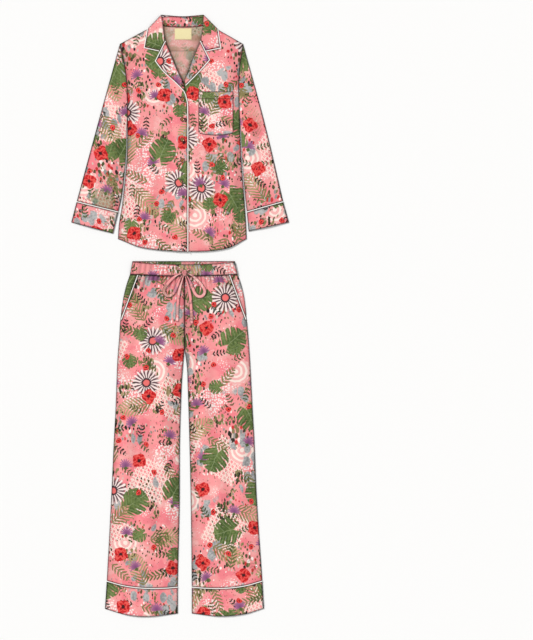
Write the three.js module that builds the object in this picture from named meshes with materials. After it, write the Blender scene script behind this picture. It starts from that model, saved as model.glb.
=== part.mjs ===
// A pyjama set laid flat: a notched-collar shirt with piped edges above a pair of drawstring trousers.
// Millimetres, +Z up. The backs rest on Z = 0, +Y runs from the trouser hems to the collar.
// Left and right are as seen from above, with the collar at the top.

import * as THREE from "three";

// Driving dimensions
const CLOTH = 1.2; // wall of one layer of cloth with its turnings
const DOUBLE = 1.8; // wall of a cuff or hem band, cut double
const BAND = 2; // wall of the elasticated waistband
const GAP = 0.3; // between pieces at seams and between layers
const LAYER = CLOTH + GAP;
const CLEAR = 0.2; // more room where a piece lies on a curved layer
const SHIRT_LENGTH = 711;
const TROUSER_LENGTH = 1066;
const BETWEEN = 28; // from the shirt's hem to the waistband
const TOP = (SHIRT_LENGTH + BETWEEN + TROUSER_LENGTH) / 2;
const SHIRT_X = 5.7;
const TROUSER_X = 12.9;
const PIPING = { width: 3, thick: 1.8, proud: 2.2 }; // proud where it stands up between two pieces
const PIPED = PIPING.width + GAP / 2; // how far a piped edge stands back from its outline
const PIPED_SEAM = (PIPING.width + GAP) / 2; // the same on each side of a piped seam
const BUTTON = { radius: 6.5, thick: 2.4, sides: 12, x: 1.5 };
const TAPE = { width: 10, neck: 3.2, thick: 1.4 };
const KNOT = { x: 0.3, down: 36, across: 9, along: 10, high: 3.4 };
const UNDERARM = 307; // below the collar's top
const YOKE_SEAM = 109;
const WAIST = { down: 45, rise: 5, half: 162 }; // the waistband's seam: middle, and its rise to each end
const CROTCH = 270;
const FACING_END = 160; // where the pocket facings tuck under the fronts
const ROLL_LIFT = 2; // how far the collar and lapels stand up at their roll
const NECK_FALL = 44.7; // depth of the collar's fall at the back

// Outlines: x across the garment from its centre, down from its top edge

const SHIRT_SIDE = [
  { down: 88, left: -187, right: 184 },
  { down: 155, left: -172, right: 174 },
  { down: 217, left: -165.5, right: 171 },
  { down: 307, left: -164.5, right: 173.5 },
  { down: 403, left: -164.5, right: 176.5 },
  { down: 478, left: -169.5, right: 181 },
  { down: 568, left: -179.5, right: 188 },
  { down: 628, left: -189, right: 192 },
  { down: 673, left: -192, right: 194 },
];

// Each front's inner edge: neckline, roll of the lapel, then the straight front edge
const FRONT_EDGE = [
  { down: 26, left: -70, right: 75 },
  { down: 79, left: -49.5, right: 55.5 },
  { down: 127, left: -30.5, right: 34.5 },
  { down: 160, left: -17, right: 22 },
  { down: 200, left: 2.5, right: 6.5 },
  { down: 228, left: 11.5, right: -6.5 },
  { down: 262, left: 15.8, right: -12.6 },
  { down: 711, left: 16.5, right: -12.6 },
];

const SHIRT_HEM = [
  { x: -192, down: 673 },
  { x: -117, down: 700 },
  { x: 17, down: 711 },
  { x: 131, down: 702.5 },
  { x: 194, down: 673 },
];

const NECK_SEAM = [
  { x: -70, down: 26 },
  { x: -50, down: 35.5 },
  { x: 2, down: 38 },
  { x: 55, down: 35.5 },
  { x: 75, down: 26 },
];

// One row for each side of the collar, the lapel and the sleeve
const COLLAR = {
  left: { top: [-61.5, 0], shoulder: [-104.7, NECK_FALL], point: [-114.6, 101], notch: [-68.7, 111] },
  right: { top: [64.5, 0], shoulder: [109.5, NECK_FALL], point: [118.2, 102], notch: [73.5, 111] },
};
const GORGE = { left: [-50.4, 79], right: [56.4, 79] };
const COLLAR_ROLL = {
  left: [[-61.5, 0], [-57.5, 20], [-56.1, 37.5], [-50.4, 79]],
  right: [[64.5, 0], [63, 20], [62.1, 37.5], [56.4, 79]],
};
const LAPEL_EDGE = {
  left: [[-81.3, 140], [-57.3, 170.5], [-20.7, 205], [-7, 218.5], [4.4, 230.5]],
  right: [[85, 136.5], [50.7, 175], [28, 198], [12, 214]],
};
const LAPEL_ROLL = {
  left: [[-50.4, 79], [-30.5, 127], [-17, 160], [2.5, 200], [9.6, 226]],
  right: [[56.4, 79], [34.5, 127], [22, 160], [9, 193], [8, 203]],
};
const SLEEVE = {
  left: { fold: [[-187, 88], [-252, 325], [-316, 561]], cuffFold: [-332, 623], cuffInner: [-206.7, 656.7] },
  right: { fold: [[184, 88], [248, 325], [303.5, 561]], cuffFold: [320.7, 623], cuffInner: [199.8, 650] },
};
const SLEEVE_INNER = [
  { down: 307, left: -164.5, right: 173.5 },
  { down: 345, left: -166.5, right: 176.5 },
  { down: 403, left: -167, right: 179 },
  { down: 478, left: -172.5, right: 183.5 },
  { down: 545, left: -180.5, right: 189.2 },
  { down: 592, left: -190.8, right: 194.5 },
];

const TROUSER_SIDE = [
  { down: 40, left: -163, right: 160 },
  { down: 74, left: -174.5, right: 171.5 },
  { down: 113, left: -183.5, right: 180 },
  { down: 176, left: -192, right: 187 },
  { down: 230, left: -195.6, right: 192 },
  { down: 300, left: -201, right: 196.8 },
  { down: 442, left: -206.4, right: 204.3 },
  { down: 537, left: -211.5, right: 209.7 },
  { down: 712, left: -219.6, right: 217 },
  { down: 960, left: -232.8, right: 233.7 },
  { down: 1043, left: -238.2, right: 238.5 },
];
const INSEAM = [
  { down: 45, left: 0.5, right: 0.5 },
  { down: 262, left: 0.5, right: 0.5 },
  { down: 270, left: -0.2, right: 1.2 },
  { down: 321, left: -4.5, right: 7.8 },
  { down: 371, left: -8.1, right: 9.8 },
  { down: 537, left: -13.5, right: 15 },
  { down: 730, left: -14.6, right: 19.2 },
  { down: 978, left: -20.1, right: 22.2 },
  { down: 1057, left: -20.1, right: 22.2 },
];
const SLANT = {
  left: { top: [-140.7, 41.5], end: [-190.6, 175] },
  right: { top: [137.1, 41.5], end: [186.2, 175] },
};
const HEM_SEAM = {
  left: [[-232.8, 960], [-180, 974], [-118.8, 981], [-60, 981], [-20.1, 978]],
  right: [[22.2, 978], [65, 981], [123.6, 981], [182, 974], [233.7, 960]],
};
const TROUSER_HEM = {
  left: [[-238.2, 1043], [-167.4, 1062.5], [-100.2, 1066], [-20.1, 1057]],
  right: [[22.2, 1057], [105, 1065.5], [179.7, 1059], [238.5, 1042]],
};

// Soft folds, pressed up from a front layer: a ridge from one end to the other
const SHIRT_FOLDS = [
  { x0: -139, down0: 330, x1: -148, down1: 625, half: 30, rise: 4.5 },
  { x0: -92, down0: 430, x1: -104, down1: 690, half: 26, rise: 3.2 },
  { x0: -118, down0: 150, x1: -134, down1: 290, half: 26, rise: 2.8 },
  { x0: 146, down0: 390, x1: 156, down1: 640, half: 30, rise: 4.2 },
  { x0: 82, down0: 420, x1: 96, down1: 680, half: 28, rise: 3 },
  { x0: -196, down0: 270, x1: -212, down1: 520, half: 24, rise: 4.5 },
  { x0: -238, down0: 330, x1: -268, down1: 480, half: 20, rise: 3 },
  { x0: 200, down0: 265, x1: 214, down1: 510, half: 24, rise: 4.2 },
  { x0: 240, down0: 350, x1: 262, down1: 500, half: 20, rise: 2.8 },
];
const TROUSER_FOLDS = [
  { x0: -112, down0: 110, x1: -126, down1: 470, half: 32, rise: 4 },
  { x0: -48, down0: 240, x1: -70, down1: 640, half: 30, rise: 4.6 },
  { x0: -166, down0: 330, x1: -178, down1: 760, half: 32, rise: 4.2 },
  { x0: -96, down0: 560, x1: -118, down1: 930, half: 34, rise: 4.8 },
  { x0: 118, down0: 120, x1: 130, down1: 430, half: 32, rise: 3.8 },
  { x0: 54, down0: 235, x1: 74, down1: 600, half: 30, rise: 4.8 },
  { x0: 162, down0: 360, x1: 176, down1: 800, half: 32, rise: 4.4 },
  { x0: 98, down0: 520, x1: 116, down1: 900, half: 34, rise: 4.4 },
];

// Buttons, pocket and label, measured down from the collar's top
const BUTTONS_DOWN = [254.4, 314.4, 375.6, 437.4, 579.6];
const POCKET = { left: 49.5, right: 154, top: 230.5, side: 352, bottom: 362.5, corner: 9 };
const LABEL = { left: -22, right: 29, top: 41, bottom: 75, thick: 0.6 };

// The back's box pleat, pressed in at its two creases
const PLEAT = { half: 11, crease: 2.5, depth: 0.5, end: 300 };

// Gathers: how many across each piece, their height, and how far down the legs they fade out
const GATHER = { legs: 11, band: 22, rise: 2.2, bandRise: 1.5, near: 85, far: 145 };

// The bow: each stretch of tape as it lies, from the knot outwards
const LOOP = {
  left: [[-8, 36.5], [-26, 45], [-45, 62], [-58, 80], [-60.5, 93], [-53, 103], [-42, 103.5], [-32, 95],
    [-23, 78], [-14.5, 58], [-5.8, 42.4]],
  right: [[8.6, 36.5], [26.5, 46], [44, 63], [57.5, 80], [61, 93.5], [54, 104.5], [42, 106], [32, 97],
    [24, 78], [15.5, 58], [6.4, 42.4]],
};
const TAIL = {
  left: [[-2.4, 44.8], [-6.6, 60], [-13.5, 82], [-18, 108], [-20.5, 140], [-21.6, 181]],
  right: [[3, 44.8], [7.2, 60], [13, 82], [17.8, 108], [20.3, 142], [22.2, 188]],
};
const LEAD = {
  left: [[-19.5, 24.5], [-14, 25], [-6.4, 30.2]],
  right: [[19.5, 24.5], [14.4, 25], [7, 30.2]],
};

const FINISH = {
  cloth: { color: 0xf0a0a0, roughness: 0.7 },
  wrongSide: { color: 0xe4bdb4, roughness: 0.75 },
  piping: { color: 0xf6f2ec, roughness: 0.55 },
  label: { color: 0xf0e0ae, roughness: 0.8 },
  button: { color: 0x9a5f30, roughness: 0.3 },
};
const material = {};
for (const [name, values] of Object.entries(FINISH)) {
  material[name] = new THREE.MeshStandardMaterial({ ...values, metalness: 0 });
}

// Plan geometry

const { lerp, smoothstep, clamp } = THREE.MathUtils;
const at = ([x, down]) => new THREE.Vector2(x, -down);
const evenly = (count) => Array.from({ length: count + 1 }, (_, i) => i / count);

// A smooth function through one column of a table
function column(table, by, key) {
  const xs = table.map((row) => row[by]);
  const ys = table.map((row) => row[key]);
  const slope = (i) => {
    const a = Math.max(i - 1, 0);
    const b = Math.min(i + 1, xs.length - 1);
    return (ys[b] - ys[a]) / (xs[b] - xs[a]);
  };
  return (x) => {
    const value = clamp(x, xs[0], xs[xs.length - 1]);
    let i = 0;
    while (i < xs.length - 2 && value > xs[i + 1]) i += 1;
    const width = xs[i + 1] - xs[i];
    const t = (value - xs[i]) / width;
    const ease = 3 * t ** 2 - 2 * t ** 3;
    const leave = width * (t ** 3 - 2 * t ** 2 + t) * slope(i);
    const arrive = width * (t ** 3 - t ** 2) * slope(i + 1);
    return lerp(ys[i], ys[i + 1], ease) + leave + arrive;
  };
}

// Edges: functions from 0 to 1 that give a point in the plan
const straight = (from, to) => (s) => at(from).lerp(at(to), s);
const samples = (edge, count) => evenly(count).map(edge);

function smooth(points) {
  const spline = new THREE.SplineCurve(points.map(at));
  return (s) => spline.getPointAt(s);
}

// An edge through listed points, with a point at each even step
function stepped(points) {
  return (s) => {
    const place = clamp(s, 0, 1) * (points.length - 1);
    const i = Math.min(Math.floor(place), points.length - 2);
    return points[i].clone().lerp(points[i + 1], place - i);
  };
}

const downTable = (table, side, downs) => {
  const x = column(table, "down", side);
  return downs.map((down) => at([x(down), down]));
};

// A patch between four edges that meet at its corners
function patch({ top, bottom, left, right }) {
  const [a, b, c, d] = [left(0), right(0), left(1), right(1)];
  return (u, v) => {
    const across = left(v).multiplyScalar(1 - u).addScaledVector(right(v), u);
    const along = top(u).multiplyScalar(1 - v).addScaledVector(bottom(u), v);
    const nearTop = a.clone().lerp(b, u);
    const nearBottom = c.clone().lerp(d, u);
    return across.add(along).sub(nearTop.lerp(nearBottom, v));
  };
}

const leftNormal = (from, to) => new THREE.Vector2(from.y - to.y, to.x - from.x).normalize();

// The step that moves a corner off both its edges by the distances given
function mitre(before, after, near, far) {
  const turn = before.x * after.y - before.y * after.x;
  if (Math.abs(turn) < 0.02) return before.clone().add(after).normalize().multiplyScalar((near + far) / 2);
  const x = (near * after.y - far * before.y) / turn;
  const y = (before.x * far - after.x * near) / turn;
  return new THREE.Vector2(x, y);
}

// Solids

function solid(name, finish, corners, faces) {
  const position = new Float32Array(corners.flatMap((point) => point.toArray()));
  const geometry = new THREE.BufferGeometry();
  geometry.setAttribute("position", new THREE.BufferAttribute(position, 3));
  const share = ([a, b, c]) => corners[a].dot(corners[b].clone().cross(corners[c]));
  const volume = faces.reduce((sum, face) => sum + share(face), 0);
  geometry.setIndex(faces.flatMap(([a, b, c]) => (volume > 0 ? [a, b, c] : [a, c, b])));
  geometry.computeVertexNormals();
  const mesh = new THREE.Mesh(geometry, material[finish]);
  mesh.name = name;
  return mesh;
}

// Triangles between two rows of points that may differ in number
function zip(upper, lower) {
  const faces = [];
  let i = 0;
  let j = 0;
  while (i < upper.length - 1 || j < lower.length - 1) {
    const onUpper = (i + 1) / (upper.length - 1);
    const onLower = (j + 1) / (lower.length - 1);
    if (j === lower.length - 1 || (i < upper.length - 1 && onUpper < onLower - 1e-9)) {
      faces.push([upper[i], lower[j], upper[i + 1]]);
      i += 1;
    } else {
      faces.push([upper[i], lower[j], lower[j + 1]]);
      j += 1;
    }
  }
  return faces;
}

// A wall of cloth over a patch: base gives its underside, thick its thickness, and inset how far each edge
// stands back from the patch's edge. Columns may be one list for all rows or a function of the row.
function wall(name, finish, { shape, rows, columns, base, thick = () => CLOTH, inset = {} }) {
  const place = patch(shape);
  const heights = Array.isArray(rows) ? rows : evenly(rows);
  const across = (row) => {
    const list = typeof columns === "function" ? columns(row) : columns;
    return Array.isArray(list) ? list : evenly(list);
  };
  const grid = heights.map((v, row) => across(row).map((u) => ({ u, v, plan: place(u, v) })));
  const last = grid.length - 1;
  const loop = [];
  for (let row = 0; row < last; row += 1) loop.push([grid[row][0], "left"]);
  for (const point of grid[last].slice(0, -1)) loop.push([point, "bottom"]);
  for (let row = last; row > 0; row -= 1) loop.push([grid[row].at(-1), "right"]);
  for (const point of grid[0].slice(1).reverse()) loop.push([point, "top"]);
  const area = loop.reduce((sum, [{ plan }], i) => sum + plan.cross(loop[(i + 1) % loop.length][0].plan), 0);
  const back = (side, a, b) => {
    const value = inset[side] ?? GAP / 2;
    const s = side === "left" || side === "right" ? (a.v + b.v) / 2 : (a.u + b.u) / 2;
    return (typeof value === "function" ? value(s) : value) * Math.sign(area);
  };
  const steps = loop.map(([point, side], i) => {
    const [before, sideBefore] = loop.at(i - 1);
    const [after] = loop[(i + 1) % loop.length];
    return mitre(
      leftNormal(before.plan, point.plan),
      leftNormal(point.plan, after.plan),
      back(sideBefore, before, point),
      back(side, point, after),
    );
  });
  loop.forEach(([point], i) => point.plan.add(steps[i]));
  const points = grid.flat();
  points.forEach((point, i) => {
    point.id = i;
  });
  const low = points.map(({ u, v, plan }) => new THREE.Vector3(plan.x, plan.y, base(plan.x, -plan.y, u, v)));
  const high = points.map(({ u, v, plan }, i) => {
    const top = low[i].clone();
    top.z += thick(plan.x, -plan.y, u, v);
    return top;
  });
  const ids = grid.map((row) => row.map((point) => point.id));
  const sheet = ids.slice(1).flatMap((lower, row) => zip(ids[row], lower));
  const count = points.length;
  const faces = sheet.map(([a, b, c]) => [a + count, b + count, c + count]);
  faces.push(...sheet.map(([a, b, c]) => [a, c, b]));
  loop.forEach(([{ id }], i) => {
    const next = loop[(i + 1) % loop.length][0].id;
    faces.push([id + count, id, next], [id + count, next, next + count]);
  });
  return solid(name, finish, [...low, ...high], faces);
}

const PIPING_SECTION = [[0, 0], [1, 0], [1, 0.55], [0.75, 1], [0.25, 1], [0, 0.55]];
const TAPE_SECTION = [[0, 0.35], [0.08, 0], [0.92, 0], [1, 0.35], [1, 0.65], [0.92, 1], [0.08, 1], [0, 0.65]];

// A strip along a path: its section runs from one distance off the path to another
function strip(name, finish, { path, from, to, base, thick, section = PIPING_SECTION }) {
  const value = (distance, s) => (typeof distance === "function" ? distance(s) : distance);
  const corners = path.flatMap((point, i) => {
    const before = leftNormal(path[Math.max(i - 1, 0)], path[Math.max(i, 1)]);
    const after = leftNormal(path[Math.min(i, path.length - 2)], path[Math.min(i + 1, path.length - 1)]);
    const s = i / (path.length - 1);
    return section.map(([across, up]) => {
      const off = lerp(value(from, s), value(to, s), across);
      const plan = point.clone().add(mitre(before, after, off, off));
      return new THREE.Vector3(plan.x, plan.y, base(plan.x, -plan.y) + up * thick);
    });
  });
  const round = section.length;
  const faces = [];
  for (let i = 0; i < path.length - 1; i += 1) {
    for (let k = 0; k < round; k += 1) {
      const a = i * round + k;
      const b = i * round + ((k + 1) % round);
      faces.push([a, b, b + round], [a, b + round, a + round]);
    }
  }
  const end = (path.length - 1) * round;
  for (let k = 1; k < round - 1; k += 1) {
    faces.push([0, k + 1, k], [end, end + k, end + k + 1]);
  }
  return solid(name, finish, corners, faces);
}

// Heights of the layers

const ridge = (folds) => (x, down) =>
  folds.reduce((sum, { x0, down0, x1, down1, half, rise }) => {
    const length = Math.hypot(x1 - x0, down1 - down0);
    const along = ((x - x0) * (x1 - x0) + (down - down0) * (down1 - down0)) / length ** 2;
    const off = Math.abs((x - x0) * (down1 - down0) - (down - down0) * (x1 - x0)) / length / half;
    if (off >= 1 || along <= 0 || along >= 1) return sum;
    return sum + rise * (1 - off ** 2) ** 2 * Math.sin(Math.PI * along) ** 2;
  }, 0);

const sideOf = (x) => (x < 0 ? "left" : "right");
const bothSides = (table) => ({ left: column(table, "down", "left"), right: column(table, "down", "right") });
const shirtSide = bothSides(SHIRT_SIDE);
const trouserSide = bothSides(TROUSER_SIDE);
const inseam = bothSides(INSEAM);
const hemDown = column(SHIRT_HEM, "x", "down");
const shirtRidge = ridge(SHIRT_FOLDS);
const trouserRidge = ridge(TROUSER_FOLDS);
const LOFT = { shirt: 2, sleeve: 2.4, leg: 2.2, waist: 2.2, fade: 60 };

// The yoke and what lies on it step up over the collar's fall, each layer a little further out
const NECK_X = 2.4;
const NECK_STEP = [
  { near: 120, far: 150, from: 52, to: 100 },
  { near: 138, far: 170, from: 70, to: 124 },
  { near: 156, far: 190, from: 88, to: 148 },
];
function neckLift(x, down, layer) {
  const { near, far, from, to } = NECK_STEP[layer];
  return LAYER * (1 - smoothstep(Math.abs(x - NECK_X), near, far)) * (1 - smoothstep(down, from, to));
}

function shirtFront(x, down) {
  const toSide = Math.abs(shirtSide[sideOf(x)](down)) - Math.abs(x);
  const loft = LOFT.shirt * smoothstep(toSide, 0, LOFT.fade) * smoothstep(down, 60, 190);
  const fold = shirtRidge(x, down) * smoothstep(toSide, 0, 30);
  return LAYER + neckLift(x, down, 1) + loft + fold;
}

// The left front laps over the right one
const lapStart = FRONT_EDGE.at(-1).right;
const leftFront = (x, down) => shirtFront(x, down) + LAYER * smoothstep(x, lapStart - 16, lapStart - 3);
const onFront = (side) => (x, down) => {
  const front = side === "left" ? leftFront(x, down) : shirtFront(x, down);
  return front + LAYER + neckLift(x, down, 2) - neckLift(x, down, 1);
};

const gatherWave = (u, count) => 0.5 - 0.5 * Math.cos(2 * Math.PI * count * u);
const gatherReach = (u) => lerp(GATHER.near, GATHER.far, 0.5 + 0.5 * Math.sin(9.7 * u + 1.3));

function legLoft(x, down) {
  const side = sideOf(x);
  const toSide = Math.abs(trouserSide[side](down)) - Math.abs(x);
  const toInseam = Math.abs(x - inseam[side](down));
  const parted = smoothstep(down, CROTCH - 80, CROTCH);
  const fade = smoothstep(toSide, 0, LOFT.fade) * lerp(1, smoothstep(toInseam, 0, LOFT.fade), parted);
  const edge = smoothstep(toSide, 0, 30) * lerp(1, smoothstep(toInseam, 0, 30), parted);
  const body = LOFT.leg * fade * smoothstep(down, 55, 190);
  const waist = LOFT.waist * (1 - smoothstep(down, 50, 170)) * smoothstep(toSide, -4, 26);
  return body + waist + trouserRidge(x, down) * edge;
}

const legFront = (x, down, u) => {
  const gather = GATHER.rise * (1 - smoothstep(down, WAIST.down, gatherReach(u)));
  return LAYER + legLoft(x, down) + gather * gatherWave(u, GATHER.legs);
};
const bandBase = BAND + GATHER.bandRise + GAP;
const bandTop = bandBase + GATHER.bandRise + BAND;

// The bow lies on the band, then on the crests of the gathers below it
function bowBase(x, down) {
  const crests = GATHER.rise * (1 - smoothstep(down, WAIST.down, GATHER.far));
  const legTop = LAYER + legLoft(x, down) + crests + CLOTH;
  return Math.max(legTop, lerp(bandTop, legTop, smoothstep(down, 52, 80))) + GAP;
}

// Shirt

const shirt = new THREE.Group();
shirt.position.set(SHIRT_X, TOP, 0);

const ARMHOLE_DOWNS = [88, YOKE_SEAM, 150, 185, 222, 262, UNDERARM];
const SIDE_DOWNS = [350, 395, 440, 485, 530, 575, 622, 673];
const EDGE_DOWNS = [26, 62, 98, 135, 172, 212, 256, 305, 355, 405, 455, 510, 570, 640, 711];
const LEFT_COLUMNS = [0, 0.09, 0.18, 0.27, 0.36, 0.46, 0.56, 0.66, 0.76, 0.84, 0.92, 1];
const RIGHT_COLUMNS = [0, 0.08, 0.16, 0.24, 0.34, 0.44, 0.54, 0.64, 0.74, 0.83, 0.92, 1];

const armhole = (side) => downTable(SHIRT_SIDE, side, ARMHOLE_DOWNS);
const frontEdge = (side) => downTable(FRONT_EDGE, side, EDGE_DOWNS);
const hemBetween = (from, to) => (s) => at([lerp(from, to, s), hemDown(lerp(from, to, s))]);

const sideAndArmhole = (side) => [...armhole(side), ...downTable(SHIRT_SIDE, side, SIDE_DOWNS)];

shirt.add(
  wall("front_left", "cloth", {
    shape: {
      top: straight(SLEEVE.left.fold[0], [FRONT_EDGE[0].left, FRONT_EDGE[0].down]),
      bottom: hemBetween(SHIRT_HEM[0].x, FRONT_EDGE.at(-1).left),
      left: stepped(sideAndArmhole("left")),
      right: stepped(frontEdge("left")),
    },
    rows: EDGE_DOWNS.length - 1,
    columns: LEFT_COLUMNS,
    base: leftFront,
  }),
  wall("front_right", "cloth", {
    shape: {
      top: straight([FRONT_EDGE[0].right, FRONT_EDGE[0].down], SLEEVE.right.fold[0]),
      bottom: hemBetween(FRONT_EDGE.at(-1).right, SHIRT_HEM.at(-1).x),
      left: stepped(frontEdge("right")),
      right: stepped(sideAndArmhole("right")),
    },
    rows: EDGE_DOWNS.length - 1,
    columns: RIGHT_COLUMNS,
    base: shirtFront,
  }),
);

// Back and yoke
const yokeEnd = { left: shirtSide.left(YOKE_SEAM), right: shirtSide.right(YOKE_SEAM) };
const backWidth = yokeEnd.right - yokeEnd.left;
const pleatLine = PLEAT.half / backWidth;
const crease = PLEAT.crease / backWidth;
const HALF_BACK = [0, 0.12, 0.24, 0.36, ...[-1, 0, 1].map((k) => 0.5 - pleatLine + k * crease)];
const BACK_COLUMNS = [...HALF_BACK, ...HALF_BACK.map((u) => 1 - u).reverse()];
const BACK_DOWNS = [YOKE_SEAM, 150, 185, 222, 262, UNDERARM, 395, 485, 575, 673];
const yokeSeam = straight([yokeEnd.left, YOKE_SEAM], [yokeEnd.right, YOKE_SEAM]);

function pleatCrease(x, down, u) {
  const off = Math.abs(Math.abs(u - 0.5) - pleatLine) / crease;
  return PLEAT.depth * Math.max(0, 1 - off) * (1 - smoothstep(down, YOKE_SEAM + 40, PLEAT.end));
}

const neckPoints = samples(smooth(NECK_SEAM.map(({ x, down }) => [x, down])), 8);
const shoulder = {
  left: samples(straight(SLEEVE.left.fold[0], [NECK_SEAM[0].x, NECK_SEAM[0].down]), 5),
  right: samples(straight([NECK_SEAM.at(-1).x, NECK_SEAM.at(-1).down], SLEEVE.right.fold[0]), 5),
};
const yokeTop = [...shoulder.left.slice(0, -1), ...neckPoints, ...shoulder.right.slice(1)];

shirt.add(
  wall("back", "wrongSide", {
    shape: {
      top: yokeSeam,
      bottom: hemBetween(SHIRT_HEM[0].x, SHIRT_HEM.at(-1).x),
      left: stepped(downTable(SHIRT_SIDE, "left", BACK_DOWNS)),
      right: stepped(downTable(SHIRT_SIDE, "right", BACK_DOWNS)),
    },
    rows: BACK_DOWNS.length - 1,
    columns: BACK_COLUMNS,
    base: pleatCrease,
  }),
  wall("back_yoke", "wrongSide", {
    shape: {
      top: stepped(yokeTop),
      bottom: yokeSeam,
      left: straight(SLEEVE.left.fold[0], [yokeEnd.left, YOKE_SEAM]),
      right: straight(SLEEVE.right.fold[0], [yokeEnd.right, YOKE_SEAM]),
    },
    rows: 5,
    columns: yokeTop.length - 1,
    base: (x, down) => neckLift(x, down, 0),
  }),
);

// Collar: the fall behind the neck, the stand inside it, and a leaf on each side
const collarTop = smooth([COLLAR.left.top, [2, 4.5], COLLAR.right.top]);
const fallEdge = straight(COLLAR.left.shoulder, COLLAR.right.shoulder);

shirt.add(
  wall("collar_fall", "cloth", {
    shape: {
      top: collarTop,
      bottom: fallEdge,
      left: straight(COLLAR.left.top, COLLAR.left.shoulder),
      right: straight(COLLAR.right.top, COLLAR.right.shoulder),
    },
    rows: 2,
    columns: 10,
    base: () => 0,
    inset: { bottom: PIPED },
  }),
  strip("piping_collar_back", "piping", {
    path: samples(fallEdge, 4),
    from: GAP / 2,
    to: PIPED - GAP,
    base: () => 0,
    thick: CLOTH,
  }),
  wall("collar_stand", "cloth", {
    shape: {
      top: smooth([[-68, 9], [-40, 5], [2, 6.5], [44, 5], [71, 9]]),
      bottom: stepped(neckPoints),
      left: straight([-68, 9], [NECK_SEAM[0].x, NECK_SEAM[0].down]),
      right: straight([71, 9], [NECK_SEAM.at(-1).x, NECK_SEAM.at(-1).down]),
    },
    rows: 2,
    columns: neckPoints.length - 1,
    base: () => LAYER,
  }),
  wall("label", "label", {
    shape: {
      top: straight([LABEL.left, LABEL.top], [LABEL.right, LABEL.top]),
      bottom: straight([LABEL.left, LABEL.bottom], [LABEL.right, LABEL.bottom]),
      left: straight([LABEL.left, LABEL.top], [LABEL.left, LABEL.bottom]),
      right: straight([LABEL.right, LABEL.top], [LABEL.right, LABEL.bottom]),
    },
    rows: 4,
    columns: 2,
    base: (x, down) => neckLift(x, down, 0) + LAYER + CLEAR,
    thick: () => LABEL.thick,
  }),
);

for (const side of ["left", "right"]) {
  const { top, shoulder: slope, point, notch } = COLLAR[side];
  const roll = smooth(COLLAR_ROLL[side]);
  const bottom = stepped([
    ...samples(straight(point, notch), 3),
    ...samples(straight(notch, GORGE[side]), 3).slice(1),
  ]);
  const away = side === "left" ? 1 : -1;
  const lift = (u) => ROLL_LIFT * smoothstep(u, 0.45, 1);
  shirt.add(
    wall(`collar_leaf_${side}`, "cloth", {
      shape: { top: straight(slope, top), bottom, left: straight(slope, point), right: roll },
      rows: 7,
      columns: 6,
      base: (x, down, u) => onFront(side)(x, down) + lift(u),
      inset: { left: PIPED, bottom: (u) => (u < 0.5 ? PIPED : GAP / 2) },
    }),
    strip(`piping_collar_${side}`, "piping", {
      path: [...samples(straight(slope, point), 4), ...samples(straight(point, notch), 3).slice(1)],
      from: away * (GAP / 2),
      to: away * (PIPED - GAP),
      base: onFront(side),
      thick: PIPING.thick,
    }),
  );
}

// Lapels, turned back on the fronts. The left one's piping runs on down the front edge.
for (const side of ["left", "right"]) {
  const outer = samples(smooth(LAPEL_EDGE[side]), 9);
  const roll = smooth(LAPEL_ROLL[side]);
  const away = side === "left" ? 1 : -1;
  const top = samples(straight(GORGE[side], LAPEL_EDGE[side][0]), 4);
  const edgePath = [...top, ...outer.slice(1)];
  if (side === "left") edgePath.push(at([10.3, 243]), at([14.6, 262]), ...frontEdge("left").slice(7));
  shirt.add(
    wall(`lapel_${side}`, "cloth", {
      shape: {
        top: stepped([...top].reverse()),
        bottom: straight(LAPEL_EDGE[side].at(-1), LAPEL_ROLL[side].at(-1)),
        left: stepped(outer),
        right: roll,
      },
      rows: 9,
      columns: (row) => (row < 6 ? 4 : 2),
      base: (x, down, u) =>
        onFront(side)(x, down) + CLEAR + ROLL_LIFT * smoothstep(u, 0.4, 1) * (1 - smoothstep(down, 120, 215)),
      inset: { left: PIPED, top: PIPED },
    }),
    strip(`piping_lapel_${side}`, "piping", {
      path: edgePath,
      from: away * (GAP / 2),
      to: away * (PIPED - GAP),
      base: (x, down) => onFront(side)(x, down) + CLEAR,
      thick: PIPING.thick,
    }),
  );
}

// Chest pocket and buttons
const pocketBottom = smooth([
  [POCKET.left, POCKET.side],
  [POCKET.left + POCKET.corner, POCKET.side + POCKET.corner * 0.7],
  [(POCKET.left + POCKET.right) / 2, POCKET.bottom],
  [POCKET.right - POCKET.corner, POCKET.side + POCKET.corner * 0.7],
  [POCKET.right, POCKET.side],
]);
shirt.add(
  wall("chest_pocket", "cloth", {
    shape: {
      top: straight([POCKET.left, POCKET.top], [POCKET.right, POCKET.top]),
      bottom: pocketBottom,
      left: straight([POCKET.left, POCKET.top], [POCKET.left, POCKET.side]),
      right: straight([POCKET.right, POCKET.top], [POCKET.right, POCKET.side]),
    },
    rows: 6,
    columns: 8,
    base: (x, down) => onFront("right")(x, down) + CLEAR,
  }),
);

const BUTTON_PROFILE = [[0, 0], [0.8, 0], [1, 0.4], [0.92, 1], [0.66, 0.72], [0, 0.72]];
BUTTONS_DOWN.forEach((down, i) => {
  const { radius, thick, sides, x } = BUTTON;
  const profile = BUTTON_PROFILE.map(([out, up]) => new THREE.Vector2(out * radius, up * thick));
  const lathe = new THREE.LatheGeometry(profile, sides);
  lathe.rotateX(Math.PI / 2);
  const button = new THREE.Mesh(lathe, material.button);
  button.name = `button_${i + 1}`;
  button.position.set(x, -down, leftFront(x, down) + LAYER);
  shirt.add(button);
});

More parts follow.
